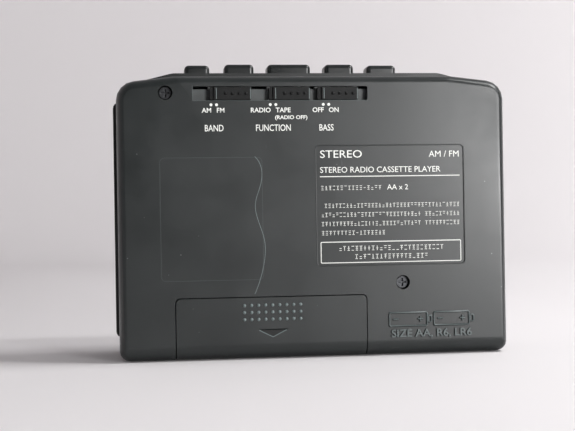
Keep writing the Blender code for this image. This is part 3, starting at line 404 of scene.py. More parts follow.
def letter_row_tree(material):
    """A row of uneven strokes, standing for a line of small print too fine to read."""
    tree, given = new_tree("Small print row", [
        ("Count", "NodeSocketInt", 40), ("Length", "NodeSocketFloat", 0.04),
        ("Height", "NodeSocketFloat", 0.001),
        ("Thickness", "NodeSocketFloat", 0.00003), ("Seed", "NodeSocketInt", 1),
        ("Place", "NodeSocketVector", None)])
    stop = add_node(tree, "ShaderNodeCombineXYZ", None, {"X": given["Length"]})
    line = add_node(tree, "GeometryNodeMeshLine", {"mode": "END_POINTS"}, {
        "Count": given["Count"], "Offset": stop.outputs[0]})
    together = tree.nodes.new("GeometryNodeJoinGeometry")
    # Each cell gets one upright and three short bars, each left out of some cells:
    # width, height and rise as shares of the row's height, and the share of cells that keep it
    strokes = ((0.13, 0.95, 0.0, 0.65), (0.58, 0.13, 0.42, 0.7),
               (0.50, 0.13, -0.42, 0.6), (0.44, 0.13, 0.0, 0.6))
    for part, (wide, tall, reach, share) in enumerate(strokes):
        size = add_node(tree, "ShaderNodeCombineXYZ", None, {"Z": given["Thickness"]})
        for axis, factor in (("X", wide), ("Y", tall)):
            scaled = add_node(tree, "ShaderNodeMath", {"operation": "MULTIPLY"}, {
                0: given["Height"], 1: factor})
            tree.links.new(scaled.outputs[0], size.inputs[axis])
        bar = add_node(tree, "GeometryNodeMeshCube", None, {"Size": size.outputs[0]})
        rise = add_node(tree, "ShaderNodeMath", {"operation": "MULTIPLY"}, {0: given["Height"], 1: reach})
        shift = add_node(tree, "ShaderNodeCombineXYZ", None, {"Y": rise.outputs[0]})
        moved = add_node(tree, "GeometryNodeTransform", None, {
            "Geometry": bar.outputs["Mesh"], "Translation": shift.outputs[0]})
        seed = add_node(tree, "ShaderNodeMath", {"operation": "ADD"}, {0: given["Seed"], 1: 7.0 * part})
        kept = add_node(tree, "FunctionNodeRandomValue", {"data_type": "BOOLEAN"}, {
            "Probability": share, "Seed": seed.outputs[0]})
        copies = add_node(tree, "GeometryNodeInstanceOnPoints", None, {
            "Points": line.outputs[0], "Instance": moved.outputs[0], "Selection": kept.outputs[3]})
        tree.links.new(copies.outputs[0], together.inputs[0])
    return finish_tree(tree, together.outputs[0], material, given["Place"])


def rib_ring_tree(material):
    """Knurling: ribs set round a rim."""
    tree, given = new_tree("Rim ribs", [
        ("Count", "NodeSocketInt", 60), ("Radius", "NodeSocketFloat", 0.012),
        ("Depth", "NodeSocketFloat", 0.003),
        ("Rib", "NodeSocketFloat", 0.0005), ("Place", "NodeSocketVector", None)])
    ring = add_node(tree, "GeometryNodeMeshCircle", None, {
        "Vertices": given["Count"], "Radius": given["Radius"]})
    rib = add_node(tree, "GeometryNodeMeshCylinder", None, {
        "Vertices": 8, "Radius": given["Rib"], "Depth": given["Depth"]})
    copies = add_node(tree, "GeometryNodeInstanceOnPoints", None, {
        "Points": ring.outputs[0], "Instance": rib.outputs["Mesh"]})
    return finish_tree(tree, copies.outputs[0], material, given["Place"])


def coil_tree(material):
    """A compression spring: round wire wound along a helix that stands on its lower end."""
    tree, given = new_tree("Coil spring", [
        ("Turns", "NodeSocketFloat", 5.0), ("Radius", "NodeSocketFloat", 0.0015),
        ("Height", "NodeSocketFloat", 0.0034), ("Wire", "NodeSocketFloat", 0.00016),
        ("Place", "NodeSocketVector", None)])
    spiral = add_node(tree, "GeometryNodeCurveSpiral", None, {
        "Resolution": 24, "Rotations": given["Turns"], "Start Radius": given["Radius"],
        "End Radius": given["Radius"], "Height": given["Height"]})
    section = add_node(tree, "GeometryNodeCurvePrimitiveCircle", None, {
        "Resolution": 8, "Radius": given["Wire"]})
    wire = add_node(tree, "GeometryNodeCurveToMesh", None, {
        "Curve": spiral.outputs[0], "Profile Curve": section.outputs[0], "Fill Caps": True})
    return finish_tree(tree, wire.outputs[0], material, given["Place"], 0.0)


# ---------------------------------------------------------------- materials


def new_material(name, colour, roughness, metallic=0.0):
    """A Principled material and its tree, shader and object coordinates."""
    material = bpy.data.materials.new(name)
    material.use_nodes = True
    tree = material.node_tree
    shader = tree.nodes["Principled BSDF"]
    shader.inputs["Base Color"].default_value = colour
    shader.inputs["Roughness"].default_value = roughness
    shader.inputs["Metallic"].default_value = metallic
    where = add_node(tree, "ShaderNodeTexCoord").outputs["Object"]
    return material, tree, shader, where


def noise(tree, where, size, detail=3.0, roughness=0.55):
    """Noise whose blotches are about size millimetres across."""
    node = add_node(tree, "ShaderNodeTexNoise", None, {
        "Vector": where, "Scale": 1000 / size, "Detail": detail, "Roughness": roughness})
    return node.outputs["Fac"]


def remap(tree, value, low, high, to_low, to_high):
    node = add_node(tree, "ShaderNodeMapRange", None, {
        "Value": value, "From Min": low, "From Max": high, "To Min": to_low, "To Max": to_high})
    return node.outputs["Result"]


def tint(tree, share, first, second):
    node = add_node(tree, "ShaderNodeMix", {"data_type": "RGBA"}, {0: share, 6: first, 7: second})
    return node.outputs[2]


def roughen(tree, shader, height, depth, strength=1.0, normal=None):
    bump = add_node(tree, "ShaderNodeBump", None, {
        "Height": height, "Distance": depth * MM, "Strength": strength})
    if normal is not None:
        tree.links.new(normal, bump.inputs["Normal"])
    tree.links.new(bump.outputs[0], shader.inputs["Normal"])
    return bump.outputs[0]


def lighter(colour, factor):
    return (*[min(1.0, c * factor) for c in colour[:3]], 1.0)


def textured_abs(name, colour, roughness, grain, depth, marks=True):
    """Moulded ABS: the mould's spark-eroded grain breaks the gloss into a soft sheen.

    Such a grain is typically about 0.2 mm. It is drawn at 0.3 to 0.6 mm so that it shows. Handling
    leaves paler rubbed clouds, short fine scratches and specks of dust.
    """
    material, tree, shader, where = new_material(name, colour, roughness)
    cloud = noise(tree, where, 22.0, 4.0, 0.6)
    grain_height = noise(tree, where, grain, 2.0)
    if marks:
        rubbed = tint(tree, remap(tree, cloud, 0.35, 0.75, 0.0, 1.0), colour, lighter(colour, 1.22))
        speck = add_node(tree, "ShaderNodeTexVoronoi", None, {"Vector": where, "Scale": 1000 / 7.0})
        dust = remap(tree, speck.outputs["Distance"], 0.035, 0.018, 0.0, 0.5)
        dusty = tint(tree, dust, rubbed, linear("#8f9392"))
        along = add_node(tree, "ShaderNodeMapping", None, {
            "Vector": where, "Rotation": (0.0, math.radians(32), 0.0), "Scale": (1.0, 1.0, 0.09)})
        hair = noise(tree, along.outputs[0], 0.6, 1.0)
        scratched = tint(tree, remap(tree, hair, 0.79, 0.84, 0.0, 0.22), dusty, linear("#7c8080"))
        tree.links.new(scratched, shader.inputs["Base Color"])
    sheen = remap(tree, cloud, 0.3, 0.7, roughness - 0.05, roughness + 0.07)
    tree.links.new(sheen, shader.inputs["Roughness"])
    roughen(tree, shader, grain_height, depth)
    return material


def dull(material, gloss):
    """Weaken a material's mirror gloss, as on plastic that fingers have rubbed matt."""
    material.node_tree.nodes["Principled BSDF"].inputs["Specular IOR Level"].default_value = gloss
    return material


def screen_ink(name, colour):
    """Screen-printed ink: thin and slightly broken where the plastic's grain shows through."""
    material, tree, shader, where = new_material(name, colour, 0.6)
    worn = remap(tree, noise(tree, where, 0.35, 2.0), 0.62, 0.8, 0.0, 0.5)
    tree.links.new(tint(tree, worn, colour, linear("#6d7070")), shader.inputs["Base Color"])
    return material


def clear_pane(name):
    """Smoked polycarbonate: clear, hard-coated, with faint rubbed haze."""
    material, tree, shader, where = new_material(name, linear("#77797c"), 0.06)
    shader.inputs["Transmission Weight"].default_value = 0.85
    shader.inputs["IOR"].default_value = 1.58
    haze = remap(tree, noise(tree, where, 9.0, 5.0), 0.4, 0.7, 0.04, 0.14)
    tree.links.new(haze, shader.inputs["Roughness"])
    return material


def plated_steel(name, colour, axis_scale):
    """Zinc-plated pressed steel: rolled grain drawn out along one axis."""
    material, tree, shader, where = new_material(name, colour, 0.34, 1.0)
    drawn = add_node(tree, "ShaderNodeMapping", None, {"Vector": where, "Scale": axis_scale})
    grain = noise(tree, drawn.outputs[0], 0.5, 4.0)
    tree.links.new(remap(tree, grain, 0.3, 0.7, 0.36, 0.44), shader.inputs["Roughness"])
    roughen(tree, shader, grain, 0.002, 0.4)
    return material


def turned_brass(name):
    """Turned brass: warm, bright, with tool marks and slight tarnish."""
    material, tree, shader, where = new_material(name, linear("#c9a35a"), 0.3, 1.0)
    tarnish = noise(tree, where, 5.0, 4.0)
    share = remap(tree, tarnish, 0.4, 0.75, 0.0, 0.6)
    tree.links.new(tint(tree, share, linear("#c9a35a"), linear("#8b6c3a")), shader.inputs["Base Color"])
    roughen(tree, shader, noise(tree, where, 0.4, 2.0), 0.006)
    return material


def soft_surface(name, colour, roughness, size, depth, other):
    """A plain moulded or sintered surface: a fine grain and a slow change of tone."""
    material, tree, shader, where = new_material(name, colour, roughness)
    share = remap(tree, noise(tree, where, size * 9, 3.0), 0.35, 0.7, 0.0, 1.0)
    tree.links.new(tint(tree, share, colour, other), shader.inputs["Base Color"])
    roughen(tree, shader, noise(tree, where, size, 2.0), depth)
    return material


def make_materials(colours):
    """Every finish of the player, by its slot in the record."""
    case = tuple(colours.case)
    dark = tuple(colours.dark)
    return {
        "case": textured_abs("charcoal_abs", case, 0.34, 0.34, 0.006),
        # The front shell gets a darker copy of the case colour, 0.62 times as bright
        "case_front": textured_abs("charcoal_abs_front", lighter(case, 0.62), 0.42, 0.34, 0.012),
        "door": textured_abs("black_abs_satin", dark, 0.36, 0.5, 0.008, False),
        "black": textured_abs("black_abs_grained", dark, 0.5, 0.4, 0.015, False),
        "key": textured_abs("charcoal_abs_polished", lighter(case, 0.72), 0.3, 0.6, 0.006, False),
        "knob": dull(textured_abs("black_abs_knob", lighter(dark, 0.9), 0.5, 0.3, 0.01, False), 0.2),
        # The case colour made 13 times as bright: painted highlights on the grip dots' tops, the knobs' edges
        # and the thumb arrow's rim
        "worn": textured_abs("charcoal_abs_painted_bright_highlight", lighter(case, 13.0), 0.3, 0.6, 0.006, False),
        # The case colour made 7 times as bright: painted highlights on the slot's lip and on the faces of the
        # cell diagram's ridges
        "rubbed": textured_abs("charcoal_abs_painted_pale_highlight", lighter(case, 7.0), 0.3, 0.34, 0.006, False),
        # A dark copy of the case colour: painted shadow inside the thumb arrow and beside the cell diagram's
        # ridges
        "pit": soft_surface("shaded_abs", lighter(case, 0.35), 0.7, 0.4, 0.01, lighter(case, 0.3)),
        "window": clear_pane("smoked_polycarbonate"),
        "grey_strip": soft_surface("grey_nylon", linear("#4e5252"), 0.5, 0.4, 0.01, linear("#434747")),
        "screw_black": plated_steel("black_oxide_steel", linear("#434446"), (1.0, 1.0, 1.0)),
        "steel": plated_steel("zinc_plated_steel", linear("#b5b6b6"), (0.06, 1.0, 1.0)),
        "brass": turned_brass("turned_brass"),
        "white": soft_surface("white_acetal", linear("#dcdad0"), 0.42, 0.5, 0.008, linear("#cfccbf")),
        "rubber": soft_surface("black_neoprene", linear("#1d1d1c"), 0.8, 0.3, 0.02, linear("#262524")),
        "board": soft_surface("paper_phenolic_board", linear("#8a6a35"), 0.55, 0.6, 0.01, linear("#6f5a2c")),
        "ferrite": soft_surface("sintered_ferrite", linear("#3a3737"), 0.7, 0.2, 0.01, linear("#2f2c2c")),
        "cell": soft_surface("printed_cell_jacket", linear("#2c3c66"), 0.3, 1.0, 0.004, linear("#324574")),
        "ink": screen_ink("white_screen_ink", tuple(colours.ink)),
    }


MATERIALS = {}


def finish(slot):
    if not MATERIALS:
        MATERIALS.update(make_materials(bpy.context.scene.player_colours))
    return MATERIALS[slot]


# ---------------------------------------------------------------- operators


class PLAYER_OT_shells(bpy.types.Operator):
    """Soften the moulded edges of both shells, the battery cover and the back screws"""

    bl_idname = "player.shells"
    bl_label = "Shells and cover"

    def execute(self, context):
        for node, width in (("back_shell", 0.35), ("front_shell", 0.45), ("battery_cover", 0.25)):
            coat = "case_front" if node == "front_shell" else "case"
            dress(refine(node, "_moulding", width), finish(coat), body_of(node))
        for node in ("back_screw_left", "back_screw_right"):
            dress(refine(node, "_finished", 0.12), finish("screw_black"), body_of(node))
        return {"FINISHED"}


class PLAYER_OT_keys(bpy.types.Operator):
    """Round the piano keys and print the symbols on their tops"""

    bl_idname = "player.keys"
    bl_label = "Keys"

    def execute(self, context):
        for key in KEYS:
            node = "button_" + key
            body = body_of(node)
            low, high = span(node)
            dress(self.cap(node, low, high), finish("key"), body)
            middle = (low + high) / 2
            marks = [self.triangle("mark", middle.x + shift, turn) for shift, turn in self.symbol(key)]
            if key == "stop":
                marks = [self.square("mark", middle.x)]
            symbol = merge(key + "_symbol", marks)
            place(symbol, 0.0, KEY_MARK_Y, high.z + 0.01)
            dress(symbol, finish("ink"), body)
        return {"FINISHED"}

    def cap(self, node, low, high):
        """A key: the rounded cap, the collar under the ledge, and the tail that stands on the spring."""
        cap_foot = LEDGE_TOP - KEY_SINK
        back = high.y - KEY_COLLAR - KEY_DEPTH
        collar_top = LEDGE_TOP - LEDGE_WALL
        middle = (low.x + high.x) / 2
        half_tail = KEY_TAIL_WIDTH / 2
        blocks = [
            soft_box(Vector((low.x + KEY_COLLAR, back, cap_foot)),
                     Vector((high.x - KEY_COLLAR, high.y - KEY_COLLAR, high.z)), KEY_ROUNDING, 6),
            soft_box(Vector((low.x, back - KEY_COLLAR, cap_foot + 0.5)),
                     Vector((high.x, high.y, collar_top)), 0.3, 2),
            soft_box(Vector((middle - half_tail, low.y, low.z)),
                     Vector((middle + half_tail, back + 0.2, cap_foot + 1.0)), 0.2, 2)]
        key = merge(node + "_cap", blocks)
        even_normals(key)
        key = plain(key)
        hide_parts(node)
        return key

    def symbol(self, key):
        """Offset and facing of each triangle of a key's symbol."""
        shapes = {
            "play": ((0.0, 1),), "rewind": ((-0.9, -1), (0.9, -1)),
            "fast_forward": ((-0.9, 1), (0.9, 1)), "direction": ((-1.3, -1), (1.3, 1)), "stop": ()}
        return shapes[key]

    def triangle(self, name, x, facing):
        return self.tile(name, [(x - 0.8 * facing, -0.9), (x + 0.8 * facing, 0.0), (x - 0.8 * facing, 0.9)])

    def square(self, name, x):
        return self.tile(name, [(x - 0.8, -0.8), (x + 0.8, -0.8), (x + 0.8, 0.8), (x - 0.8, 0.8)])

    def tile(self, name, outline):
        """A thin printed shape lying flat."""
        form = bmesh.new()
        face = form.faces.new([form.verts.new(Vector((x, y, 0.0)) * MM) for x, y in outline])
        grown = bmesh.ops.extrude_face_region(form, geom=[face])["geom"]
        rise = [item for item in grown if isinstance(item, bmesh.types.BMVert)]
        bmesh.ops.translate(form, verts=rise, vec=(0.0, 0.0, PRINT_THICKNESS * MM))
        bmesh.ops.recalc_face_normals(form, faces=form.faces)
        mesh = bpy.data.meshes.new(name)
        form.to_mesh(mesh)
        form.free()
        return link(name, mesh)


class PLAYER_OT_switches(bpy.types.Operator):
    """Finish the slide-switch knobs, their grip dots, and the words under the slot"""

    bl_idname = "player.switches"
    bl_label = "Slide switches"

    def execute(self, context):
        sizes = context.scene.player_print
        dots = dot_grid_tree(finish("knob"))
        for name in SWITCHES:
            node = name + "_switch_knob"
            low, high = span(node)
            body = body_of(node)
            dress(refine(node, "_cap", 0.22), finish("knob"), body)
            middle = Vector((low.x + 8.0, low.y + 0.62, (low.z + high.z) / 2))
            grip = grow(name + "_grip_dots", dots, {
                "Columns": 4, "Rows": 1, "Width": 6.3 * MM, "Height": 0.0, "Radius": 0.5 * MM,
                "Place": tuple(middle * MM)})
            dress(grip, finish("knob"), body)
            # Pale lines on each knob's edges: painted highlights
            dress(self.glints(name, low, high), finish("worn"), body)
        self.slot_rim()
        self.print_words(sizes)
        return {"FINISHED"}

    def glints(self, name, low, high):
        """Painted highlights on a knob: pale lines on the lip of its ridge and at its right-hand end."""
        bottom, top = low.z + 0.3, high.z - 0.3
        lip = ribbon("lip", [(low.x + 2.0, bottom), (low.x + 2.0, top)], 0.2, False, 0.05)
        end = ribbon("end", [(high.x - 0.22, bottom), (high.x - 0.22, top)], 0.2, False, 0.05)
        place(lip, 0.0, low.y, 0.0)
        place(end, 0.0, BACK_Y + KNOB_RECESS, 0.0)
        return merge(name + "_knob_painted_highlights", [lip, end])

    def slot_rim(self):
        """A pale line on the slot's moulded lip at the left and along the bottom: a painted highlight."""
        left, right = SLOT_LOW.x + STRIP_SIDE, SLOT_HIGH.x - STRIP_SIDE
        bottom, top = SLOT_LOW.z + STRIP_BELOW, SLOT_HIGH.z + STRIP_SHORT
        rim = ribbon("slot_rim", [(left, top), (left, bottom), (right, bottom)], 0.16, False, 0.03)
        dress(place(rim, 0.0, BACK_Y, 0.0), finish("rubbed"), "case")

    def print_words(self, sizes):
        small = sizes.small / MM
        large = sizes.large / MM
        row = SLOT_LOW.z - STRIP_BELOW
        places = {name: span(name + "_switch_knob")[0].x for name in SWITCHES}
        words = []
        for name, left, right in (("band", "AM", "FM"), ("function", "RADIO", "TAPE"), ("bass", "OFF", "ON")):
            x = places[name] + (2.6 if name == "bass" else 1.2)
            words.append(word("left_word", left, x - 0.7, row - 1.6, small, align="RIGHT", bold=BOLD))
            words.append(word("right_word", right, x + 0.8, row - 1.6, small, align="LEFT", bold=BOLD))
            for shift in (-0.85, 0.85):
                words.append(self.dot(x + shift, row + 0.75))
        words.append(word("under", "(RADIO OFF)", places["function"] + 1.7, row - 3.7, small * 0.8,
                          align="LEFT", squeeze=1.08, bold=BOLD))
        for text, x in (("BAND", places["band"] + 1.2), ("FUNCTION", places["function"] + 1.2),
                        ("BASS", places["bass"] + 2.6)):
            words.append(word("title", text, x, row - 7.3, large, squeeze=0.76, bold=0.015))
        dress(merge("switch_words", words), finish("ink"), "case")

    def dot(self, x, z):
        """A small printed disc."""
        form = bmesh.new()
        turn = Matrix.Translation(Vector((x, BACK_Y, z)) * MM) @ Matrix.Rotation(math.pi / 2, 4, "X")
        bmesh.ops.create_cone(form, cap_ends=True, segments=20, radius1=0.45 * MM, radius2=0.45 * MM,
                              depth=2 * PRINT_THICKNESS * MM, matrix=turn)
        mesh = bpy.data.meshes.new("dot")
        form.to_mesh(mesh)
        form.free()
        return link("dot", mesh)


class PLAYER_OT_cover_grip(bpy.types.Operator):
    """Raise the thumb grip on the battery cover"""

    bl_idname = "player.cover_grip"
    bl_label = "Battery cover grip"

    def execute(self, context):
        grip = context.scene.player_grip
        centre = Vector((THUMB_GRIP_X, BACK_Y, COVER_HIGH.z - 4.6)) * MM
        # The dots take the pale finish: painted highlights on their tops
        piece = grow("cover_grip_dots", dot_grid_tree(finish("worn")), {
            "Columns": grip.columns, "Rows": grip.rows, "Width": grip.pitch * (grip.columns - 1),
            "Height": grip.pitch * (grip.rows - 1), "Radius": grip.radius, "Place": tuple(centre)})
        dress(piece, finish("worn"), "battery_cover")
        self.arrow()
        return {"FINISHED"}

    def arrow(self):
        """A dark floor, painted shadow inside the sunken thumb arrow, and a pale rim, a painted highlight
        along its edges.
        """
        x, z = THUMB_GRIP_X, COVER_HIGH.z - 11.3
        notch = [(x - 4.2, z + 1.2), (x, z - 0.9), (x + 4.2, z + 1.2)]
        form = bmesh.new()
        rings = [[form.verts.new(Vector((u, y, v)) * MM) for u, v in notch]
                 for y in (BACK_Y + 0.38, BACK_Y - 0.02)]
        form.faces.new(rings[0])
        form.faces.new(rings[1])
        for i in range(3):
            j = (i + 1) % 3
            form.faces.new((rings[0][i], rings[0][j], rings[1][j], rings[1][i]))
        bmesh.ops.recalc_face_normals(form, faces=form.faces)
        mesh = bpy.data.meshes.new("cover_arrow")
        form.to_mesh(mesh)
        form.free()
        # Dark floor: painted shadow inside the sunken arrow
        dress(link("cover_arrow", mesh), finish("pit"), "battery_cover")
        # Pale rim: painted highlight along the arrow's edges
        rim = ribbon("cover_arrow_painted_highlight", [notch[0], notch[1], notch[2]], 0.28, closed=False, depth=0.08)
        dress(place(rim, 0.0, BACK_Y, 0.0), finish("worn"), "battery_cover")


class PLAYER_OT_label(bpy.types.Operator):
    """Print the sunken label: type of set, small print and a framed panel"""

    bl_idname = "player.label"
    bl_label = "Label"

    def execute(self, context):
        left = LABEL_LEFT + SIDE_MARGIN
        right = LABEL_RIGHT - SIDE_MARGIN
        rows = letter_row_tree(finish("ink"))
        y = LABEL_Y - PRINT_THICKNESS
        marks = [
            word("heading", "STEREO", left, LABEL_HIGH - 3.8, 2.3, y=y, align="LEFT", squeeze=1.15),
            word("heading_right", "AM / FM", right, LABEL_HIGH - 3.8, 1.9, y=y, align="RIGHT"),
            word("type", "STEREO RADIO CASSETTE PLAYER", left, LABEL_HIGH - 8.4, 1.75, y=y, align="LEFT",
                 squeeze=0.98),
            ribbon("rule", [(left, 0.0), (right, 0.0)], LINE, closed=False),
            word("cells", "AA x 2", left + 21, LABEL_HIGH - 13.8, 1.6, y=y, align="LEFT"),
        ]
        place(marks[3], 0.0, LABEL_Y, LABEL_HIGH - 9.6)
        full = right - left - 1.4
        lines = ((13.1, 0.0, 18.0, 3), (18.6, 1.0, full - 1.0, 5), (21.4, 0.0, full, 8),
                 (24.2, 0.0, full, 13), (27.0, 0.0, 19.0, 21))
        for number, (drop, indent, length, seed) in enumerate(lines):
            start = left + 0.7 + indent
            marks.append(self.row("row_%d" % number, rows, start, LABEL_HIGH - drop, length, 1.35, seed))
        frame_low = LABEL_LOW + 0.9
        frame_high = frame_low + 6.4
        outline = corner_path(left, right, frame_low, frame_high, 0.2, 1)
        border = ribbon("border", outline, LINE)
        place(border, 0.0, LABEL_Y, 0.0)
        marks.append(border)
        middle = (left + right) / 2
        marks.append(self.row("panel_1", rows, middle - 16.0, frame_high - 2.0, 32.0, 1.5, 34))
        marks.append(self.row("panel_2", rows, middle - 11.0, frame_low + 1.8, 22.0, 1.5, 55))
        dress(merge("label_print", marks), finish("ink"), "case")
        edge = ribbon("label_edge", corner_path(LABEL_LEFT, LABEL_RIGHT, LABEL_LOW, LABEL_HIGH, 1.2), 0.32,
                      depth=0.05)
        dress(place(edge, 0.0, BACK_Y, 0.0), finish("case"), "case")
        return {"FINISHED"}

    def row(self, name, tree, x, z, length, height, seed):
        spot = Vector((x, LABEL_Y, z)) * MM
        return grow(name, tree, {
            "Count": round(length / height / 0.82), "Length": length * MM, "Height": height * MM,
            "Thickness": 2 * PRINT_THICKNESS * MM, "Seed": seed, "Place": tuple(spot)})


class PLAYER_OT_cell_diagram(bpy.types.Operator):
    """Emboss the outline of two cells with their poles, and the cell size"""

    bl_idname = "player.cell_diagram"
    bl_label = "Cell diagram"

    def execute(self, context):
        # Pale ridges: painted highlight on the faces of the relief
        dress(self.relief("cell_diagram_ridges", 0.0, RIDGE_HEIGHT), finish("rubbed"), "case")
        # Painted shadow: a dark flat copy of the relief, below and to the left of every ridge
        dress(self.relief("cell_diagram_painted_shadow", PAINTED_SHADOW_SHIFT, PAINTED_SHADOW_HEIGHT), finish("pit"), "case")
        return {"FINISHED"}

    def relief(self, name, shift, height):
        """Two cell outlines with their poles, and the cell size, moved by shift and raised by height."""
        lines = []
        width = 0.5
        sign_z = 11.2
        for left, right in ((22.3, 34.2), (36.4, 47.6)):
            plus_x = right - 2.15
            lines += [
                ribbon("cell", corner_path(left, right, 9.1, 13.2, 0.3, 1), width, depth=height),
                ribbon("nub", corner_path(right + 0.3, right + 1.4, 10.2, 12.1, 0.2, 1), width, depth=height),
                ribbon("minus", [(left + 1.2, sign_z), (left + 2.9, sign_z)], width, False, height),
                ribbon("plus", [(plus_x - 0.85, sign_z), (plus_x + 0.85, sign_z)], width, False, height),
                ribbon("cross", [(plus_x, sign_z - 0.85), (plus_x, sign_z + 0.85)], width, False, height)]
        for line in lines:
            place(line, 0.0, BACK_Y, 0.0)
        lines.append(word("size", "SIZE AA, R6, LR6", 35.6, 5.7, 2.25, y=BACK_Y - height, depth=height + 0.03,
                          squeeze=1.1, bold=0.05))
        return place(merge(name, lines), shift, 0.0, shift)


class PLAYER_OT_wear(bpy.types.Operator):
    """Lay the score left by a peeled sticker and one long hair scratch on the back"""

    bl_idname = "player.wear"
    bl_label = "Wear marks"

    def execute(self, context):
        score = ribbon("score", corner_path(-47.7, -16.6, 24.4, 61.8, 1.4), 0.16, depth=0.012)
        turns = ((-18.8, 62.0), (-16.6, 60.0), (-16.2, 54.0), (-19.6, 48.0), (-18.0, 42.0), (-15.6, 36.0),
                 (-16.2, 29.0), (-18.0, 23.0), (-19.4, 20.0))
        scratch = ribbon("scratch", turns, 0.17, closed=False, depth=0.015, kind="NURBS")
        case = tuple(context.scene.player_colours.case)
        for mark, name, paler in ((score, "scored_abs", 3.0), (scratch, "scuffed_abs", 12.0)):
            scuffed = textured_abs(name, lighter(case, paler), 0.5, 0.3, 0.01, False)
            dress(place(mark, 0.0, BACK_Y, 0.0), scuffed, "case")
        return {"FINISHED"}


class PLAYER_OT_door(bpy.types.Operator):
    """Finish the cassette door with its window frame and grip ribs"""

    bl_idname = "player.door"
    bl_label = "Cassette door"

    def execute(self, context):
        dress(refine("cassette_door", "_moulding", 0.5, 3), finish("door"), "door")
        dress(refine("cassette_holder", "_moulding", 0.2), finish("black"), "door")
        NODES["door_window"].data.materials.clear()
        NODES["door_window"].data.materials.append(finish("window"))
        trims = []
        for grow_by, width in ((1.6, 0.6), (2.9, 0.35)):
            path = corner_path(WINDOW_LOW.x - grow_by, WINDOW_HIGH.x + grow_by, WINDOW_LOW.z - grow_by,
                               WINDOW_HIGH.z + grow_by, 3.0)
            trims.append(ribbon("trim", path, width, depth=0.25))
        for z in (10.0, 12.0, 14.0, 74.0, 76.0, 78.0):
            trims.append(ribbon("rib", [(DOOR_LOW.x + 5, z), (DOOR_HIGH.x - 5, z)], 0.7, False, 0.3))
        for trim in trims:
            place(trim, 0.0, DOOR_HIGH.y, 0.0)
        dress(merge("door_trim", trims), finish("black"), "door")
        return {"FINISHED"}


class PLAYER_OT_wheels(bpy.types.Operator):
    """Knurl the tuning and volume wheels"""

    bl_idname = "player.wheels"
    bl_label = "Side wheels"

    def execute(self, context):
        ribs = rib_ring_tree(finish("black"))
        for name, count in (("tuning", 90), ("volume", 60)):
            node = name + "_wheel"
            low, high = span(node)
            middle = (low + high) / 2
            knurl = grow(name + "_knurl", ribs, {
                "Count": count, "Radius": (high.x - low.x) / 2 * MM - 0.15 * MM,
                "Depth": (high.y - low.y) * 0.86 * MM, "Rib": 0.28 * MM, "Place": tuple(middle * MM)})
            dress(refine(node, "_disc", 0.3), finish("black"), body_of(node))
            dress(knurl, finish("black"), body_of(node))
        dress(refine("headphone_jack", "_moulding", 0.2), finish("black"), "case")
        return {"FINISHED"}


class PLAYER_OT_springs(bpy.types.Operator):
    """Wind the key springs"""

    bl_idname = "player.springs"
    bl_label = "Key springs"

    def execute(self, context):
        coil = coil_tree(finish("steel"))
        for key in KEYS:
            node = "spring_" + key
            low, high = span(node)
            foot = Vector(((low.x + high.x) / 2, (low.y + high.y) / 2, low.z))
            radius = (high.y - low.y) / 2 - SPRING_WIRE
            place_of_coil = foot + Vector((0.0, 0.0, SPRING_WIRE))
            spring = grow(node + "_coil", coil, {
                "Turns": SPRING_TURNS, "Radius": radius * MM, "Wire": SPRING_WIRE * MM,
                "Height": (high.z - low.z - 2 * SPRING_WIRE) * MM, "Place": tuple(place_of_coil * MM)})
            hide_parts(node)
            dress(spring, finish("steel"), body_of(node))
            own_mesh(spring)
        return {"FINISHED"}


class PLAYER_OT_mechanism(bpy.types.Operator):
    """Give every part of the mechanism and electronics its own finish"""

    bl_idname = "player.mechanism"
    bl_label = "Mechanism"

    def execute(self, context):
        slots = {row["node"]: row["material_slot"] for row in frame["record"]["subparts"]}
        for node, part in NODES.items():
            part.data.materials.clear()
            part.data.materials.append(finish(slots[node]))
        return {"FINISHED"}


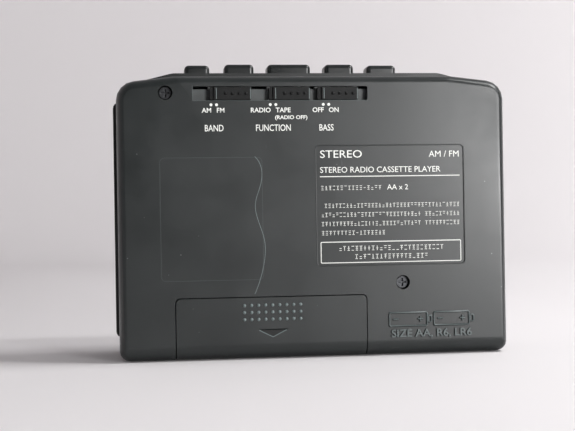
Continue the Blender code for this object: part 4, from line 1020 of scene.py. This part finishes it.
class PLAYER_OT_stage(bpy.types.Operator):
    """Set the seamless bowl, the lights and the camera"""

    bl_idname = "player.stage"
    bl_label = "Stage"

    def execute(self, context):
        settings = context.scene.player_stage
        self.bowl(settings.radius, tuple(context.scene.player_colours.paper))
        power = settings.key_power
        self.lamp("window_light", (0.44, -0.78, 0.12), (0.0, 0.0, 0.05), 0.26, power * 1.38)
        self.lamp("edge_light", (0.34, -0.17, 0.40), (0.0, 0.0, 0.05), 0.05, power * 0.2)
        self.lamp("ceiling_light", (0.40, -0.04, 0.62), (0.08, 0.0, 0.04), 0.22, power * 0.52)
        self.lamp("far_light", (0.66, 0.34, 0.55), (0.66, 1.0, 0.15), 0.4, power * 0.7)
        self.flag()
        world = bpy.data.worlds.new("room")
        world.use_nodes = True
        sky = world.node_tree.nodes["Background"]
        sky.inputs["Color"].default_value = linear("#f2f1f3")
        sky.inputs["Strength"].default_value = 0.26
        context.scene.world = world
        context.scene.view_settings.view_transform = "Standard"
        self.camera(context, settings.lens)
        return {"FINISHED"}

    def bowl(self, radius, colour):
        """A round floor that curves up into a wall, in matt paper."""
        bend = radius * 0.35
        profile = [(radius - bend + bend * math.sin(a), bend - bend * math.cos(a))
                   for a in [math.radians(9 * i) for i in range(11)]]
        profile = [(0.0, 0.0), (radius * 0.3, 0.0)] + profile + [(radius, radius * 1.3)]
        form = bmesh.new()
        verts = [form.verts.new((x, 0.0, z - 0.05 * MM)) for x, z in profile]
        edges = [form.edges.new(pair) for pair in zip(verts, verts[1:])]
        bmesh.ops.spin(form, geom=verts + edges, cent=(0, 0, 0), axis=(0, 0, 1), steps=96, angle=2 * math.pi)
        bmesh.ops.remove_doubles(form, verts=form.verts, dist=0.01 * MM)
        bmesh.ops.recalc_face_normals(form, faces=form.faces)
        mesh = bpy.data.meshes.new("paper_bowl")
        form.to_mesh(mesh)
        form.free()
        bowl = link("paper_bowl", mesh)
        mesh.shade_smooth()
        material, tree, shader, where = new_material("seamless_paper", colour, 0.9)
        roughen(tree, shader, noise(tree, where, 1.2, 3.0), 0.02, 0.4)
        mesh.materials.append(material)

    def flag(self):
        """A dark card at the left that keeps the pale bowl out of the gloss on that side."""
        form = bmesh.new()
        turn = Matrix.Translation((-0.34, -0.84, 0.46)) @ Matrix.Rotation(math.pi / 2, 4, "X")
        bmesh.ops.create_grid(form, x_segments=1, y_segments=1, size=0.45, matrix=turn)
        mesh = bpy.data.meshes.new("dark_card")
        form.to_mesh(mesh)
        form.free()
        card = link("dark_card", mesh)
        card.visible_camera = False
        black = soft_surface("black_card", linear("#161616"), 0.9, 0.8, 0.01, linear("#1a1a1a"))
        mesh.materials.append(black)

    def lamp(self, name, position, target, size, power):
        light = bpy.data.lights.new(name, "AREA")
        light.shape = "SQUARE"
        light.size = size
        light.energy = power
        holder = bpy.data.objects.new(name, light)
        bpy.context.collection.objects.link(holder)
        holder.location = position
        holder.rotation_euler = (Vector(target) - Vector(position)).to_track_quat("-Z", "Y").to_euler()
        holder.visible_camera = False

    def camera(self, context, lens):
        """A short telephoto opposite the set's left edge, at half its height."""
        data = bpy.data.cameras.new("camera")
        data.lens = lens
        data.sensor_width = 36.0
        camera = bpy.data.objects.new("camera", data)
        context.collection.objects.link(camera)
        camera.location = Vector((-54.7, -382.7, 43.9)) * MM
        camera.rotation_euler = [math.radians(angle) for angle in (89.99, 0.91, -7.145)]
        context.scene.camera = camera


# ---------------------------------------------------------------- panel and registration


class PLAYER_PT_panel(bpy.types.Panel):
    """Sidebar panel with one button for each group of pieces"""

    bl_idname = "PLAYER_PT_panel"
    bl_label = "Cassette player"
    bl_space_type = "VIEW_3D"
    bl_region_type = "UI"
    bl_category = "Player"

    def draw(self, context):
        for settings in (context.scene.player_colours, context.scene.player_grip,
                         context.scene.player_print, context.scene.player_stage):
            for title in settings.__annotations__:
                self.layout.prop(settings, title)
        for operator in OPERATORS:
            self.layout.operator(operator.bl_idname)


SETTINGS = {
    "player_colours": PlayerColours, "player_grip": PlayerGrip,
    "player_print": PlayerPrint, "player_stage": PlayerStage}
OPERATORS = (
    PLAYER_OT_mechanism, PLAYER_OT_springs, PLAYER_OT_shells, PLAYER_OT_keys, PLAYER_OT_switches,
    PLAYER_OT_cover_grip, PLAYER_OT_label, PLAYER_OT_cell_diagram, PLAYER_OT_wear, PLAYER_OT_door,
    PLAYER_OT_wheels, PLAYER_OT_stage)


def register():
    for group in (*SETTINGS.values(), *OPERATORS, PLAYER_PT_panel):
        bpy.utils.register_class(group)
    for name, group in SETTINGS.items():
        setattr(bpy.types.Scene, name, bpy.props.PointerProperty(type=group))


def unregister():
    for name in SETTINGS:
        delattr(bpy.types.Scene, name)
    for group in reversed((*SETTINGS.values(), *OPERATORS, PLAYER_PT_panel)):
        bpy.utils.unregister_class(group)


def main():
    register()
    for operator in OPERATORS:
        group, name = operator.bl_idname.split(".")
        getattr(getattr(bpy.ops, group), name)()


if __name__ == "__main__":
    main()
